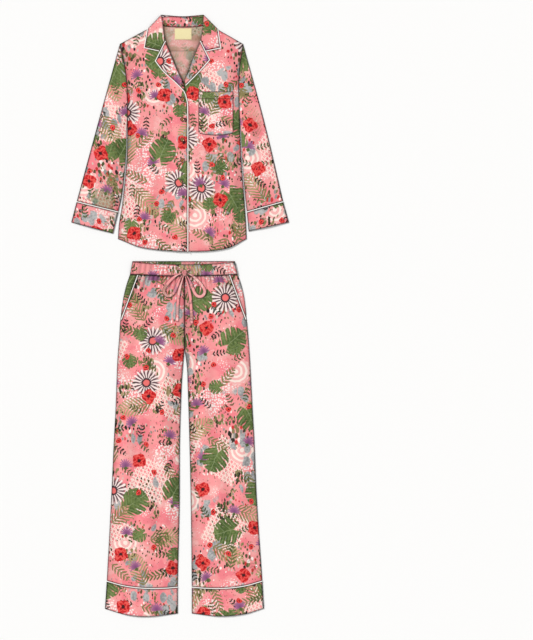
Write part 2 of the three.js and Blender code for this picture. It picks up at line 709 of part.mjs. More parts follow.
// Sleeves and cuffs, each parted at its fold into the layer that shows and the layer below
const SLEEVE_ROWS = 10;
const SLEEVE_COLUMNS = 6;
const SLEEVE_DOWNS = evenly(SLEEVE_ROWS).map((s) => lerp(UNDERARM, 592, s));
for (const side of ["left", "right"]) {
  const { fold, cuffFold, cuffInner } = SLEEVE[side];
  const away = side === "left" ? 1 : -1;
  const inner = downTable(SLEEVE_INNER, side, SLEEVE_DOWNS);
  const wrist = [inner.at(-1).x, -inner.at(-1).y];
  const cuffSeam = straight(fold.at(-1), wrist);
  const sleeve = {
    top: stepped(armhole(side)),
    bottom: cuffSeam,
    left: smooth(fold),
    right: stepped(inner),
  };
  const cuff = {
    top: cuffSeam,
    bottom: straight(cuffFold, cuffInner),
    left: straight(fold.at(-1), cuffFold),
    right: straight(wrist, cuffInner),
  };
  const loft = (u) => LOFT.sleeve * Math.sin(Math.PI * u) ** 1.5;
  const over = (x, down, u, v) =>
    LAYER + (loft(u) + shirtRidge(x, down) * Math.sin(Math.PI * u)) * smoothstep(v, 0, 0.3);
  const seamHeight = (x, down) => {
    const along = (down - fold.at(-1)[1]) / (wrist[1] - fold.at(-1)[1]);
    return LAYER + loft(clamp(along, 0, 1));
  };
  const cuffLayers = { front: (x, down, u) => LAYER + loft(u), back: () => 0 };
  const sleeveLayers = { front: over, back: () => 0 };
  for (const layer of ["front", "back"]) {
    shirt.add(
      wall(`sleeve_${side}_${layer}`, "cloth", {
        shape: sleeve,
        rows: SLEEVE_ROWS,
        columns: SLEEVE_COLUMNS,
        base: sleeveLayers[layer],
        inset: { bottom: PIPED_SEAM },
      }),
      wall(`cuff_${side}_${layer}`, "cloth", {
        shape: cuff,
        rows: 2,
        columns: SLEEVE_COLUMNS,
        base: cuffLayers[layer],
        thick: () => (layer === "front" ? DOUBLE : CLOTH),
        inset: { top: PIPED_SEAM },
      }),
      strip(`piping_cuff_${side}_${layer}`, "piping", {
        path: samples(cuffSeam, SLEEVE_COLUMNS),
        from: away * (GAP - PIPED_SEAM),
        to: away * (PIPED_SEAM - GAP),
        base: layer === "front" ? seamHeight : () => 0,
        thick: layer === "front" ? PIPING.proud : CLOTH,
      }),
    );
  }
}

// Trousers

const trousers = new THREE.Group();
trousers.position.set(TROUSER_X, TOP - SHIRT_LENGTH - BETWEEN, 0);

const SLANT_DOWNS = [41.5, 55, 72, 94, 120, 148, 175];
const LEG_DOWNS = [224, CROTCH, 330, 400, 480, 560, 650, 740, 830, 900, 960];
const WAIST_DOWNS = [WAIST.down, 57, 74, 95, 120, 148, 178];
const CENTRE_DOWNS = [...WAIST_DOWNS, 224, CROTCH, 330, 400, 480, 560, 650, 745, 840, 912, 978];
const BACK_LEG_DOWNS = {
  side: [40, 110, 175, CROTCH, 400, 560, 740, 860, 960],
  centre: [WAIST.down, 110, 178, CROTCH, 400, 560, 745, 880, 978],
};
const waistDown = (x) => WAIST.down - WAIST.rise * (x / WAIST.half) ** 2;
const waistBetween = (from, to) => (s) => at([lerp(from, to, s), waistDown(lerp(from, to, s))]);
const legColumns = (row) => {
  if (row <= 4) return 4 * GATHER.legs;
  return row <= 6 ? 2 * GATHER.legs : GATHER.legs + 1;
};

for (const side of ["left", "right"]) {
  const slant = SLANT[side];
  const slantX = (down) => {
    const along = (down - slant.top[1]) / (slant.end[1] - slant.top[1]);
    return lerp(slant.top[0], slant.end[0], along);
  };
  const slantPoints = SLANT_DOWNS.map((down) => at([slantX(down), down]));
  const centre = stepped(downTable(INSEAM, side, CENTRE_DOWNS));
  const outer = stepped([...slantPoints, ...downTable(TROUSER_SIDE, side, LEG_DOWNS)]);
  const hemSeam = smooth(side === "left" ? HEM_SEAM.left : [...HEM_SEAM.right].reverse());
  const hem = smooth(side === "left" ? TROUSER_HEM.left : [...TROUSER_HEM.right].reverse());
  const seam = samples(hemSeam, 12);
  const away = side === "left" ? 1 : -1;
  const centreTop = [INSEAM[0][side], INSEAM[0].down];
  const piped = (v) => (v * (CENTRE_DOWNS.length - 1) < SLANT_DOWNS.length - 1 ? PIPED : GAP / 2);
  const bandLoft = (u) => LOFT.leg * Math.sin(Math.PI * u) ** 1.5;
  trousers.add(
    wall(`leg_${side}_front`, "cloth", {
      shape: {
        top: waistBetween(slant.top[0], centreTop[0]),
        bottom: stepped(seam),
        left: outer,
        right: centre,
      },
      rows: CENTRE_DOWNS.length - 1,
      columns: legColumns,
      base: legFront,
      inset: { left: piped, bottom: PIPED_SEAM },
    }),
    wall(`leg_${side}_back`, "cloth", {
      shape: {
        top: waistBetween(TROUSER_SIDE[0][side], centreTop[0]),
        bottom: stepped(seam),
        left: stepped(downTable(TROUSER_SIDE, side, BACK_LEG_DOWNS.side)),
        right: stepped(downTable(INSEAM, side, BACK_LEG_DOWNS.centre)),
      },
      rows: BACK_LEG_DOWNS.side.length - 1,
      columns: 6,
      base: () => 0,
      inset: { bottom: PIPED_SEAM },
    }),
    wall(`pocket_facing_${side}`, "cloth", {
      shape: {
        top: waistBetween(TROUSER_SIDE[0][side], slant.top[0]),
        bottom: straight([trouserSide[side](FACING_END), FACING_END], [slantX(FACING_END), FACING_END]),
        left: stepped(downTable(TROUSER_SIDE, side, [40, 74, 113, 140, FACING_END])),
        right: straight(slant.top, [slantX(FACING_END), FACING_END]),
      },
      rows: 6,
      columns: 2,
      base: (x, down) => LAYER + legLoft(x, down),
    }),
    strip(`piping_pocket_${side}`, "piping", {
      path: slantPoints,
      from: away * (GAP / 2),
      to: away * (PIPED - GAP),
      base: (x, down) => LAYER + legLoft(x, down),
      thick: PIPING.proud,
    }),
  );
  const hemLayers = { front: (x, down, u) => LAYER + bandLoft(u), back: () => 0 };
  const hemHeight = (x) => {
    const across = (x - seam[0].x) / (seam.at(-1).x - seam[0].x);
    return LAYER + bandLoft(clamp(across, 0, 1));
  };
  for (const layer of ["front", "back"]) {
    trousers.add(
      wall(`hem_band_${side}_${layer}`, "cloth", {
        shape: {
          top: stepped(seam),
          bottom: hem,
          left: (s) => seam[0].clone().lerp(hem(0), s),
          right: (s) => seam.at(-1).clone().lerp(hem(1), s),
        },
        rows: 2,
        columns: 12,
        base: hemLayers[layer],
        thick: () => (layer === "front" ? DOUBLE : CLOTH),
        inset: { top: PIPED_SEAM },
      }),
      strip(`piping_hem_${side}_${layer}`, "piping", {
        path: seam,
        from: away * (GAP - PIPED_SEAM),
        to: away * (PIPED_SEAM - GAP),
        base: layer === "front" ? hemHeight : () => 0,
        thick: layer === "front" ? PIPING.proud : CLOTH,
      }),
    );
  }
}

// Waistband
const bandEnd = { left: -155.7, right: 151.2, down: 10, rise: 8 }; // the front's top edge dips in the middle
const bandColumns = 4 * GATHER.band;
const bandFrontTop = (s) => {
  const x = lerp(bandEnd.left, bandEnd.right, s);
  return at([x, bandEnd.down - bandEnd.rise * (x / bandEnd.left) ** 2]);
};
const bandBottom = waistBetween(TROUSER_SIDE[0].left, TROUSER_SIDE[0].right);
trousers.add(
  wall("waistband_front", "cloth", {
    shape: {
      top: bandFrontTop,
      bottom: bandBottom,
      left: (s) => bandFrontTop(0).lerp(bandBottom(0), s),
      right: (s) => bandFrontTop(1).lerp(bandBottom(1), s),
    },
    rows: 2,
    columns: bandColumns,
    base: (x, down, u) => bandBase + GATHER.bandRise * gatherWave(u, GATHER.band),
    thick: () => BAND,
  }),
  wall("waistband_back", "cloth", {
    shape: {
      top: straight([bandEnd.left, 0], [bandEnd.right, 0]),
      bottom: bandBottom,
      left: straight([bandEnd.left, 0], [TROUSER_SIDE[0].left, waistDown(TROUSER_SIDE[0].left)]),
      right: straight([bandEnd.right, 0], [TROUSER_SIDE[0].right, waistDown(TROUSER_SIDE[0].right)]),
    },
    rows: 1,
    columns: bandColumns,
    base: () => 0,
    thick: (x, down, u) => BAND + GATHER.bandRise * gatherWave(u, GATHER.band),
  }),
);

// Drawstring: the knot, its two loops, its two tails and the two leads from the band
const half = (ends) => (s) => (TAPE.width / 2) * lerp(TAPE.neck / TAPE.width, 1, ends(s));
const loopWidth = half((s) => smoothstep(Math.min(s, 1 - s), 0, 0.22));
const tailWidth = half((s) => smoothstep(s, 0, 0.4));
const leadWidth = half((s) => 0.25 * (1 - s));
const tape = (name, route, steps, width) =>
  strip(name, "cloth", {
    path: samples(smooth(route), steps),
    from: (s) => -width(s),
    to: (s) => width(s),
    base: bowBase,
    thick: TAPE.thick,
    section: TAPE_SECTION,
  });
const knot = new THREE.Mesh(new THREE.SphereGeometry(1, 12, 8), material.cloth);
knot.geometry.scale(KNOT.across, KNOT.along, KNOT.high);
knot.name = "drawstring_knot";
knot.position.set(KNOT.x, -KNOT.down, bandTop + GAP + KNOT.high);
trousers.add(knot);
for (const side of ["left", "right"]) {
  trousers.add(
    tape(`drawstring_loop_${side}`, LOOP[side], 22, loopWidth),
    tape(`drawstring_tail_${side}`, TAIL[side], 12, tailWidth),
    tape(`drawstring_lead_${side}`, LEAD[side], 4, leadWidth),
  );
}

const pyjamaSet = new THREE.Group();
pyjamaSet.add(shirt, trousers);

export default pyjamaSet;
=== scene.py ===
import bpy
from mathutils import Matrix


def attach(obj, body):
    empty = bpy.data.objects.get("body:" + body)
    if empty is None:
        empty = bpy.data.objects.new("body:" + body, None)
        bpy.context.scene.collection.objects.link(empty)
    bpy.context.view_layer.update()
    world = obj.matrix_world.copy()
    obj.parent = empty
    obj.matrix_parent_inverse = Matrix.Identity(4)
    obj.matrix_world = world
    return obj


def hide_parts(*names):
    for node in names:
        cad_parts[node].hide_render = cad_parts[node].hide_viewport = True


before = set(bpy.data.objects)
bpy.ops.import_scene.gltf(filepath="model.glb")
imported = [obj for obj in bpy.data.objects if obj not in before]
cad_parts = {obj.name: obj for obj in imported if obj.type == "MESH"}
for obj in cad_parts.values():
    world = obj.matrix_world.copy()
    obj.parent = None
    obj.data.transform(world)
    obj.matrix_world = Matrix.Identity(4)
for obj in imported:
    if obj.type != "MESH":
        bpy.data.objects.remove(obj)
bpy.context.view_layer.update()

import math

import bpy
import numpy as np

# The view
# The set lies on a pale floor under a soft ceiling of light, seen from straight above. The frame is 1.6 m
# wide, so a pixel of the photograph is 3 mm on the floor, and the set is left of its middle as there.
MM = 0.001
VIEW_HEIGHT = 1.92
VIEW_MIDDLE = (0.2592, -0.0132)
LENS = 100
SENSOR = 36
FARTHEST = 120
SKY = 0.43
FLOOR_COLOUR = (0.93, 0.925, 0.915, 1)
FLOOR_ROUGHNESS = 0.9
FLOOR_HALF = 40
FLOOR_LEVEL = -0.0004

camera_data = bpy.data.cameras.new("camera")
camera_data.lens = LENS
camera_data.sensor_fit = "VERTICAL"
camera_data.sensor_height = SENSOR
camera_data.clip_end = FARTHEST
camera = bpy.data.objects.new("camera", camera_data)
camera.location = (*VIEW_MIDDLE, VIEW_HEIGHT * LENS / SENSOR)
bpy.context.collection.objects.link(camera)
bpy.context.scene.camera = camera
bpy.context.scene.view_settings.view_transform = "Standard"


def light(name, place, spread, strength):
    """A far lamp that shines from a place towards the middle, its spread in degrees."""
    data = bpy.data.lights.new(name, "SUN")
    data.energy = strength
    data.angle = math.radians(spread)
    lamp = bpy.data.objects.new(name, data)
    lamp.location = place
    flat = math.hypot(place[0], place[1])
    lamp.rotation_euler = (math.atan2(flat, place[2]), 0, math.atan2(place[0], -place[1]))
    bpy.context.collection.objects.link(lamp)


light("key", place=(-2.2, 1.9, 2.1), spread=14, strength=2.7)
light("fill", place=(2.4, -1.2, 3.4), spread=40, strength=0.5)
world = bpy.data.worlds.new("studio")
world.use_nodes = True
world.node_tree.nodes["Background"].inputs["Color"].default_value = (1, 1, 1, 1)
world.node_tree.nodes["Background"].inputs["Strength"].default_value = SKY
bpy.context.scene.world = world

floor_mesh = bpy.data.meshes.new("floor")
floor_sides = ((-1, -1), (1, -1), (1, 1), (-1, 1))
floor_corners = [(x * FLOOR_HALF, y * FLOOR_HALF, FLOOR_LEVEL) for x, y in floor_sides]
floor_mesh.from_pydata(floor_corners, [], [(0, 1, 2, 3)])
floor = bpy.data.objects.new("floor", floor_mesh)
bpy.context.collection.objects.link(floor)
paper = bpy.data.materials.new("floor")
paper.use_nodes = True
paper.node_tree.nodes["Principled BSDF"].inputs["Base Color"].default_value = FLOOR_COLOUR
paper.node_tree.nodes["Principled BSDF"].inputs["Roughness"].default_value = FLOOR_ROUGHNESS
floor_mesh.materials.append(paper)

# Drawstring
# A narrow tie of the printed cloth, turned to a flat tube and tied in a bow over the front of the waistband.
# It lies on the band and then on the crests of the gathers, so how the trousers lie is worked out here first.
# Sizes are in millimetres: x from the garment's middle, down from its top edge.
CLOTH = 1.2
GAP = 0.3
LAYER = CLOTH + GAP
TROUSER_AT = (12.9, 163.5)
CROTCH = 270
PARTING = 80
WAIST = {"down": 45, "rise": 5, "half": 162}
BAND = 2
GATHER = {"legs": 11, "band": 22, "rise": 2.2, "band_rise": 1.5, "near": 85, "far": 145}
# How high each part lies over its back, and how far in from an edge it and its folds are full
LOFT = {"shirt": 2, "sleeve": 2.4, "leg": 2.2, "waist": 2.2, "fade": 60, "edge": 30}
LEG_FULL = (55, 190)
WAIST_FULL = (50, 170)
WAIST_SIDE = (-4, 26)
TROUSER_SIDE = {
    "down": [40, 74, 113, 176, 230, 300, 442, 537, 712, 960, 1043],
    "left": [-163, -174.5, -183.5, -192, -195.6, -201, -206.4, -211.5, -219.6, -232.8, -238.2],
    "right": [160, 171.5, 180, 187, 192, 196.8, 204.3, 209.7, 217, 233.7, 238.5],
}
INSEAM = {
    "down": [45, 262, 270, 321, 371, 537, 730, 978, 1057],
    "left": [0.5, 0.5, -0.2, -4.5, -8.1, -13.5, -14.6, -20.1, -20.1],
    "right": [0.5, 0.5, 1.2, 7.8, 9.8, 15, 19.2, 22.2, 22.2],
}
# Folds: from x, down to x, down, half their width, and rise
TROUSER_FOLDS = [
    (-112, 110, -126, 470, 32, 4), (-48, 240, -70, 640, 30, 4.6), (-166, 330, -178, 760, 32, 4.2),
    (-96, 560, -118, 930, 34, 4.8), (118, 120, 130, 430, 32, 3.8), (54, 235, 74, 600, 30, 4.8),
    (162, 360, 176, 800, 32, 4.4), (98, 520, 116, 900, 34, 4.4),
]
# Lesser creases: drag lines from the crotch, breaks at the knees and above the hem bands
CREASED = 1.5
TROUSER_CREASES = [
    (-6, 262, -74, 330, 11, 1.5), (-6, 282, -58, 372, 10, 1.2), (8, 262, 82, 322, 11, 1.6),
    (10, 284, 64, 380, 10, 1.1), (-188, 486, -128, 520, 12, 1.3), (-30, 552, -96, 532, 10, 1.1),
    (34, 520, 104, 548, 12, 1.3), (196, 572, 140, 538, 11, 1.2), (-150, 640, -188, 700, 13, 1.4),
    (58, 664, 86, 742, 13, 1.5), (-36, 700, -62, 800, 12, 1.3), (152, 690, 194, 752, 12, 1.2),
    (-206, 850, -160, 900, 13, 1.4), (-64, 868, -40, 940, 12, 1.2), (60, 880, 44, 950, 12, 1.3),
    (204, 846, 166, 916, 13, 1.4), (-140, 196, -170, 262, 12, 1.1), (146, 200, 172, 270, 12, 1.2),
]
LOOP = {
    "left": [(-8, 36.5), (-26, 45), (-45, 62), (-58, 80), (-60.5, 93), (-53, 103), (-42, 103.5), (-32, 95),
             (-23, 78), (-14.5, 58), (-5.8, 42.4)],
    "right": [(8.6, 36.5), (26.5, 46), (44, 63), (57.5, 80), (61, 93.5), (54, 104.5), (42, 106), (32, 97),
              (24, 78), (15.5, 58), (6.4, 42.4)],
}
TAIL = {
    "left": [(-2.4, 44.8), (-6.6, 60), (-13.5, 82), (-18, 108), (-20.5, 140), (-21.6, 181)],
    "right": [(3, 44.8), (7.2, 60), (13, 82), (17.8, 108), (20.3, 142), (22.2, 188)],
}
LEAD = {
    "left": [(-19.5, 24.5), (-14, 25), (-6.4, 30.2)],
    "right": [(19.5, 24.5), (14.4, 25), (7, 30.2)],
}
TAPE = {"width": 10, "neck": 3.2, "thick": 1.9, "fuller": 0.5}
KNOT = {"x": 0.3, "down": 36, "across": 9, "along": 10, "high": 3.4}
BAND_BASE = BAND + GATHER["band_rise"] + GAP
BAND_TOP = BAND_BASE + GATHER["band_rise"] + BAND
# Where the bow comes down from the band to the legs
BOW_STEP = (52, 80)


def ease(value, low, high):
    """0 below low, 1 above high, and smooth between them."""
    t = np.clip((np.asarray(value, float) - low) / (high - low), 0, 1)
    return t * t * (3 - 2 * t)


def column(table, key, by="down"):
    """A smooth function through one column of a table, by another column."""
    xs = np.array(table[by], float)
    ys = np.array(table[key], float)
    slope = np.gradient(ys, xs)
    slope[1:-1] = (ys[2:] - ys[:-2]) / (xs[2:] - xs[:-2])

    def value(x):
        x = np.clip(x, xs[0], xs[-1])
        i = np.clip(np.searchsorted(xs, x, side="right") - 1, 0, len(xs) - 2)
        width = xs[i + 1] - xs[i]
        t = (x - xs[i]) / width
        lean = width * ((t**3 - 2 * t**2 + t) * slope[i] + (t**3 - t**2) * slope[i + 1])
        return ys[i] + (ys[i + 1] - ys[i]) * (3 * t**2 - 2 * t**3) + lean

    return value


def both(table):
    """Both side columns as one function of x's sign and down."""
    left, right = column(table, "left"), column(table, "right")
    return lambda x, down: np.where(x < 0, left(down), right(down))


def ridges(folds, x, down):
    """The height of soft folds at a point, each fading towards its ends and its sides."""
    total = 0
    for x0, down0, x1, down1, half, rise in folds:
        length = math.hypot(x1 - x0, down1 - down0)
        along = ((x - x0) * (x1 - x0) + (down - down0) * (down1 - down0)) / length**2
        off = ((x - x0) * (down1 - down0) - (down - down0) * (x1 - x0)) / length / half
        near = np.clip(1 - off**2, 0, 1) ** 2
        total = total + rise * near * np.sin(np.pi * np.clip(along, 0, 1)) ** 2
    return total


def rumple(x, down):
    """The faint waviness of washed cloth, from 0 to about 0.6 mm."""
    slow = np.sin(x / 23 + 1.7 * np.sin(down / 61)) * np.sin(down / 37 + 1.3 * np.sin(x / 47))
    quick = np.sin(x / 9.1 + down / 17.3 + 2 * np.sin(down / 29)) * np.sin(down / 11.7 - x / 21)
    return 0.3 + 0.2 * slow + 0.1 * quick


trouser_side = both(TROUSER_SIDE)
inseam = both(INSEAM)


def leg_loft(x, down):
    """How far a leg's front stands off its back, with its folds and creases."""
    to_side = np.abs(trouser_side(x, down)) - np.abs(x)
    to_inseam = np.abs(x - inseam(x, down))
    parted = ease(down, CROTCH - PARTING, CROTCH)
    fade, edge = (ease(to_side, 0, LOFT[key]) * (1 - parted + parted * ease(to_inseam, 0, LOFT[key]))
                  for key in ("fade", "edge"))
    body = LOFT["leg"] * fade * ease(down, *LEG_FULL)
    waist = LOFT["waist"] * (1 - ease(down, *WAIST_FULL)) * ease(to_side, *WAIST_SIDE)
    folds = ridges(TROUSER_FOLDS, x, down) + CREASED * ridges(TROUSER_CREASES, x, down)
    return body + waist + (folds + rumple(x, down)) * edge


def bow_base(x, down):
    """The top of what the bow lies on: the band, then the crests of the gathers."""
    crests = GATHER["rise"] * (1 - ease(down, WAIST["down"], GATHER["far"]))
    leg_top = LAYER + leg_loft(x, down) + crests + CLOTH
    step = ease(down, *BOW_STEP)
    return np.maximum(leg_top, BAND_TOP * (1 - step) + leg_top * step) + GAP


def line(start, end):
    """A straight edge, as a function from 0 to 1 that gives x and down."""
    return lambda s: np.multiply.outer(1 - np.asarray(s, float), start) + np.multiply.outer(s, end)


def smooth(points, steps=24):
    """A smooth edge through listed points, even along its length."""
    p = np.array(points, float)
    p = np.vstack([2 * p[0] - p[1], p, 2 * p[-1] - p[-2]])
    fine = []
    for i in range(1, len(p) - 2):
        for t in np.linspace(0, 1, steps, endpoint=False):
            a, b = p[i + 1] - p[i - 1], p[i + 2] - p[i]
            lean = (t**3 - 2 * t**2 + t) * a / 2 + (t**3 - t**2) * b / 2
            fine.append(p[i] + (p[i + 1] - p[i]) * (3 * t**2 - 2 * t**3) + lean)
    fine = np.array(fine + [p[-2]])
    length = np.concatenate([[0], np.cumsum(np.hypot(*np.diff(fine, axis=0).T))])
    length /= length[-1]
    return lambda s: np.stack([np.interp(s, length, fine[:, 0]), np.interp(s, length, fine[:, 1])], -1)


def place(points, where):
    """Garment points (x, down, height) in millimetres as points of the row in metres."""
    x, down, up = np.moveaxis(np.asarray(points, float), -1, 0)
    return np.stack([x + where[0], where[1] - down, up], -1) * MM


def solid_mesh(name, points, faces, prints=None, shade=None, wrong=None):
    """A closed mesh with its faces outward, its places on the print, and the painted shade along its seams."""
    points = np.asarray(points, float)
    quads = np.array([face if len(face) == 4 else (*face, face[-1]) for face in faces])
    a, b, c, d = (points[quads[:, k]] for k in range(4))
    if (np.cross(b - a, c - a) * a + np.cross(c - a, d - a) * a).sum() < 0:
        faces = [tuple(reversed(face)) for face in faces]
    mesh = bpy.data.meshes.new(name)
    mesh.from_pydata(points.tolist(), [], faces)
    mesh.polygons.foreach_set("use_smooth", [True] * len(faces))
    corners = np.zeros(len(mesh.loops), int)
    mesh.loops.foreach_get("vertex_index", corners)
    prints = points[:, :2] if prints is None else prints
    layer = mesh.uv_layers.new(name="print")
    layer.data.foreach_set("uv", np.asarray(prints, float)[corners].ravel())
    depth = mesh.attributes.new("shade", "FLOAT", "POINT")
    shade = np.ones(len(points)) if shade is None else np.asarray(shade, float)
    depth.data.foreach_set("value", shade.ravel())
    if wrong is not None:
        mesh.polygons.foreach_set("material_index", wrong)
    mesh.update()
    made = bpy.data.objects.new(name, mesh)
    bpy.context.collection.objects.link(made)
    return made


def beside(path, distance):
    """A path moved to its left, seen from above, by a distance that may vary along it."""
    step = np.gradient(path, axis=0)
    step /= np.maximum(np.hypot(step[:, 0], step[:, 1]), 1e-9)[:, None]
    return path + np.stack([step[:, 1], -step[:, 0]], -1) * np.reshape(distance, (-1, 1))


def ringed(rings, sides):
    """The faces of rings of points joined in a row. The last two points close its two ends."""
    faces = []
    for i in range(rings - 1):
        for k in range(sides):
            j = (k + 1) % sides
            faces.append((i * sides + k, i * sides + j, (i + 1) * sides + j, (i + 1) * sides + k))
    last = (rings - 1) * sides
    for k in range(sides):
        j = (k + 1) % sides
        faces.append((rings * sides, j, k))
        faces.append((rings * sides + 1, last + k, last + j))
    return faces


def squared(value, power=0.8):
    """A sine or cosine that gives a rounder, fuller oval."""
    return math.copysign(abs(value) ** power, value)


def roll(name, path, width, thick, base, where, offset=0.0, sides=12, prints=(0, 0), side_shade=(0.6, 0.85)):
    """A tape or a cord along a path, oval in section, lying on its base. side_shade is the painted shade on its
    sides: how dark, and how far out from its middle it starts."""
    count = len(path)
    width = np.broadcast_to(width, count)
    thick = np.broadcast_to(thick, count)
    bed = base(path[:, 0], path[:, 1])
    around = np.arange(sides) * 2 * np.pi / sides
    rings = []
    for angle in around:
        plan = beside(path, offset + width / 2 * squared(math.cos(angle)))
        rings.append(np.column_stack([plan, bed + thick * (0.5 + 0.5 * squared(math.sin(angle)))]))
    rings = np.stack(rings, 1)
    ends = np.stack([rings[0].mean(0), rings[-1].mean(0)])
    points = place(np.vstack([rings.reshape(-1, 3), ends]), where)
    length = np.concatenate([[0], np.cumsum(np.hypot(*np.diff(path, axis=0).T))]) * MM
    across = np.linspace(0, 2 * width.max() * MM, sides)
    flat = np.stack([np.tile(across, count), np.repeat(length, sides)], -1)
    flat = np.vstack([flat, [[0, 0], [0, length[-1]]]])
    dark, start = side_shade
    shade = np.append(np.tile(1 - dark * ease(np.abs(np.cos(around)), start, 0.98), count), [0.6, 0.6])
    return solid_mesh(name, points, ringed(count, sides), flat + prints, shade)


def centre_line(path, thick, base, where):
    """The points in the row's metres that a tape's middle follows."""
    up = base(path[:, 0], path[:, 1]) + thick / 2
    return place(np.column_stack([path, up]), where)


class Dye:
    """A value on its way through a material: sums on it add Math nodes, and node adds any other node."""

    def __init__(self, socket):
        self.socket = socket
        self.tree = socket.id_data

    def node(self, kind, settings, inputs):
        """A node with its settings, a ramp's stops among them, and then its sockets' values or links."""
        made = self.tree.nodes.new("ShaderNode" + kind)
        for name, value in settings.items():
            if name == "stops":
                fill_ramp(made.color_ramp, value)
            else:
                setattr(made, name, value)
        for name, value in inputs.items():
            socket = made.inputs[name]
            if isinstance(value, Dye):
                self.tree.links.new(value.socket, socket)
            else:
                socket.default_value = value
        return made

    def out(self, kind, settings, inputs, name=0):
        """One output of a new node."""
        return Dye(self.node(kind, settings, inputs).outputs[name])

    def sum(self, operation, *values, clamp=False):
        settings = {"operation": operation, "use_clamp": clamp}
        return self.out("Math", settings, dict(enumerate(values)))

    def __add__(self, other):
        return self.sum("ADD", self, other)

    def __radd__(self, other):
        return self.sum("ADD", other, self)

    def __sub__(self, other):
        return self.sum("SUBTRACT", self, other)

    def __rsub__(self, other):
        return self.sum("SUBTRACT", other, self)

    def __mul__(self, other):
        return self.sum("MULTIPLY", self, other)

    def __rmul__(self, other):
        return self.sum("MULTIPLY", other, self)

    def __truediv__(self, other):
        return self.sum("DIVIDE", self, other)

    def __rtruediv__(self, other):
        return self.sum("DIVIDE", other, self)

    def __abs__(self):
        return self.sum("ABSOLUTE", self)

    def sine(self):
        return self.sum("SINE", self)

    def root(self):
        return self.sum("SQRT", self)

    def least(self, other):
        return self.sum("MINIMUM", self, other)

    def most(self, other):
        return self.sum("MAXIMUM", self, other)

    def brush(self, soft):
        """1 where the value is above 0, with an edge as soft as given."""
        return self.sum("MULTIPLY_ADD", self, 1 / soft, 0.5, clamp=True)

    def vector(self, operation, *values):
        name = "Value" if operation == "LENGTH" else "Vector"
        return self.out("VectorMath", {"operation": operation}, dict(enumerate(values)), name)

    def parts(self):
        """The x and y of a place."""
        split = self.node("SeparateXYZ", {}, {0: self})
        return Dye(split.outputs[0]), Dye(split.outputs[1])

    def relief(self, strength, distance):
        """The slope of the surface where the value is its height."""
        return self.out("Bump", {}, {"Height": self, "Strength": strength, "Distance": distance})


def sRGB(red, green, blue):
    """A colour of the photograph's 0 to 255 scale as the shader's linear one."""
    linear = [((v / 255 + 0.055) / 1.055) ** 2.4 if v > 10 else v / 255 / 12.92 for v in (red, green, blue)]
    return (*linear, 1)


def fill_ramp(ramp, tones):
    """Even steps of a few tones, over the middle of a ramp, where most of the chance numbers lie."""
    ramp.interpolation = "CONSTANT"
    while len(ramp.elements) < len(tones):
        ramp.elements.new(0.5)
    for i, tone in enumerate(tones):
        ramp.elements[i].position = 0.18 + 0.64 * i / len(tones)
        ramp.elements[i].color = sRGB(*tone)


def over(mask, under, colour, blend="MIX"):
    """Paints a colour over what is under it, where the mask is 1."""
    first = next(value for value in (mask, under, colour) if isinstance(value, Dye))
    settings = {"data_type": "RGBA", "blend_type": blend}
    return first.out("Mix", settings, {0: mask, 6: under, 7: colour}, 2)


def clouds(at, size, detail=2.0):
    """Soft noise over the cloth, with patches of about the size given in metres."""
    inputs = {"Vector": at, "Scale": 1 / size, "Detail": detail, "Roughness": 0.55}
    return at.out("TexNoise", {"noise_dimensions": "2D"}, inputs)


def moved(at, x, y):
    """The cloth moved along, so that a second noise of the same kind differs from the first."""
    return at.vector("ADD", at, (x, y, 0))


def slanted(at, angle, squash):
    """The cloth turned and squashed, so that round dots on it come out as strokes."""
    return at.out("Mapping", {}, {"Vector": at, "Rotation": (0, 0, angle), "Scale": (1, squash, 1)})


def cells(at, size, randomness=1.0):
    """Cells of about the size given: how far a place is from its cell's middle, and a chance colour."""
    inputs = {"Vector": at, "Scale": 1 / size, "Randomness": randomness}
    made = at.node("TexVoronoi", {"voronoi_dimensions": "2D"}, inputs)
    return Dye(made.outputs["Distance"]), Dye(made.outputs["Color"])


def picked(chance, tones):
    """One of a few tones for each cell, by its chance colour."""
    return chance.out("ValToRGB", {"stops": tones}, {0: chance})


def strewn(at, pitch, reach, seed, turn=2 * math.pi):
    """One motif to each square of a grid that its seed tilts: the place in the motif, with its tips at 1, as a
    vector and as x and y, and a chance number."""
    mapped = at.out("Mapping", {}, {"Vector": at, "Location": (seed * 0.37, seed * 0.61, 0),
                                    "Rotation": (0, 0, seed * 0.7), "Scale": (1 / pitch, 1 / pitch, 1)})
    chance = at.node("TexWhiteNoise", {"noise_dimensions": "2D"}, {"Vector": mapped.vector("FLOOR", mapped)})
    colour, value = Dye(chance.outputs["Color"]), Dye(chance.outputs["Value"])
    room = 0.5 - reach / pitch
    middle = at.vector("MULTIPLY_ADD", colour, (2 * room, 2 * room, 0), (0.5 - room, 0.5 - room, 0))
    local = at.vector("SUBTRACT", at.vector("FRACTION", mapped), middle)
    turned = at.out("VectorRotate", {"rotation_type": "Z_AXIS"}, {"Vector": local, "Angle": value * turn})
    own = turned.vector("MULTIPLY", turned, (pitch / reach, pitch / reach, 0))
    return own, *own.parts(), at.out("SeparateColor", {}, {0: colour}, 2)


def kept(chance, limit):
    """1 on the motifs whose chance number is above a limit, so that the rest are left out."""
    return (chance - limit).brush(0.02)


def polar(own, x, y):
    """How far a place in a motif is from its middle, and its bearing."""
    return own.vector("LENGTH", own), x.sum("ARCTAN2", y, x)


def split_leaf(x, y):
    """A broad leaf with slits that run in from its rim along the veins."""
    half = 0.97 * ((1 - y) * (y + 0.85)).root()
    off = abs(x)
    vein = ((y - 0.55 * off) * 14.5 + 0.6).sine()
    slit = 1.26 - 0.62 * (off / half) - vein
    shape = (half - off).least(slit * 0.12)
    return shape.least((off + 0.6 * y + 0.21) * 0.5), vein, off


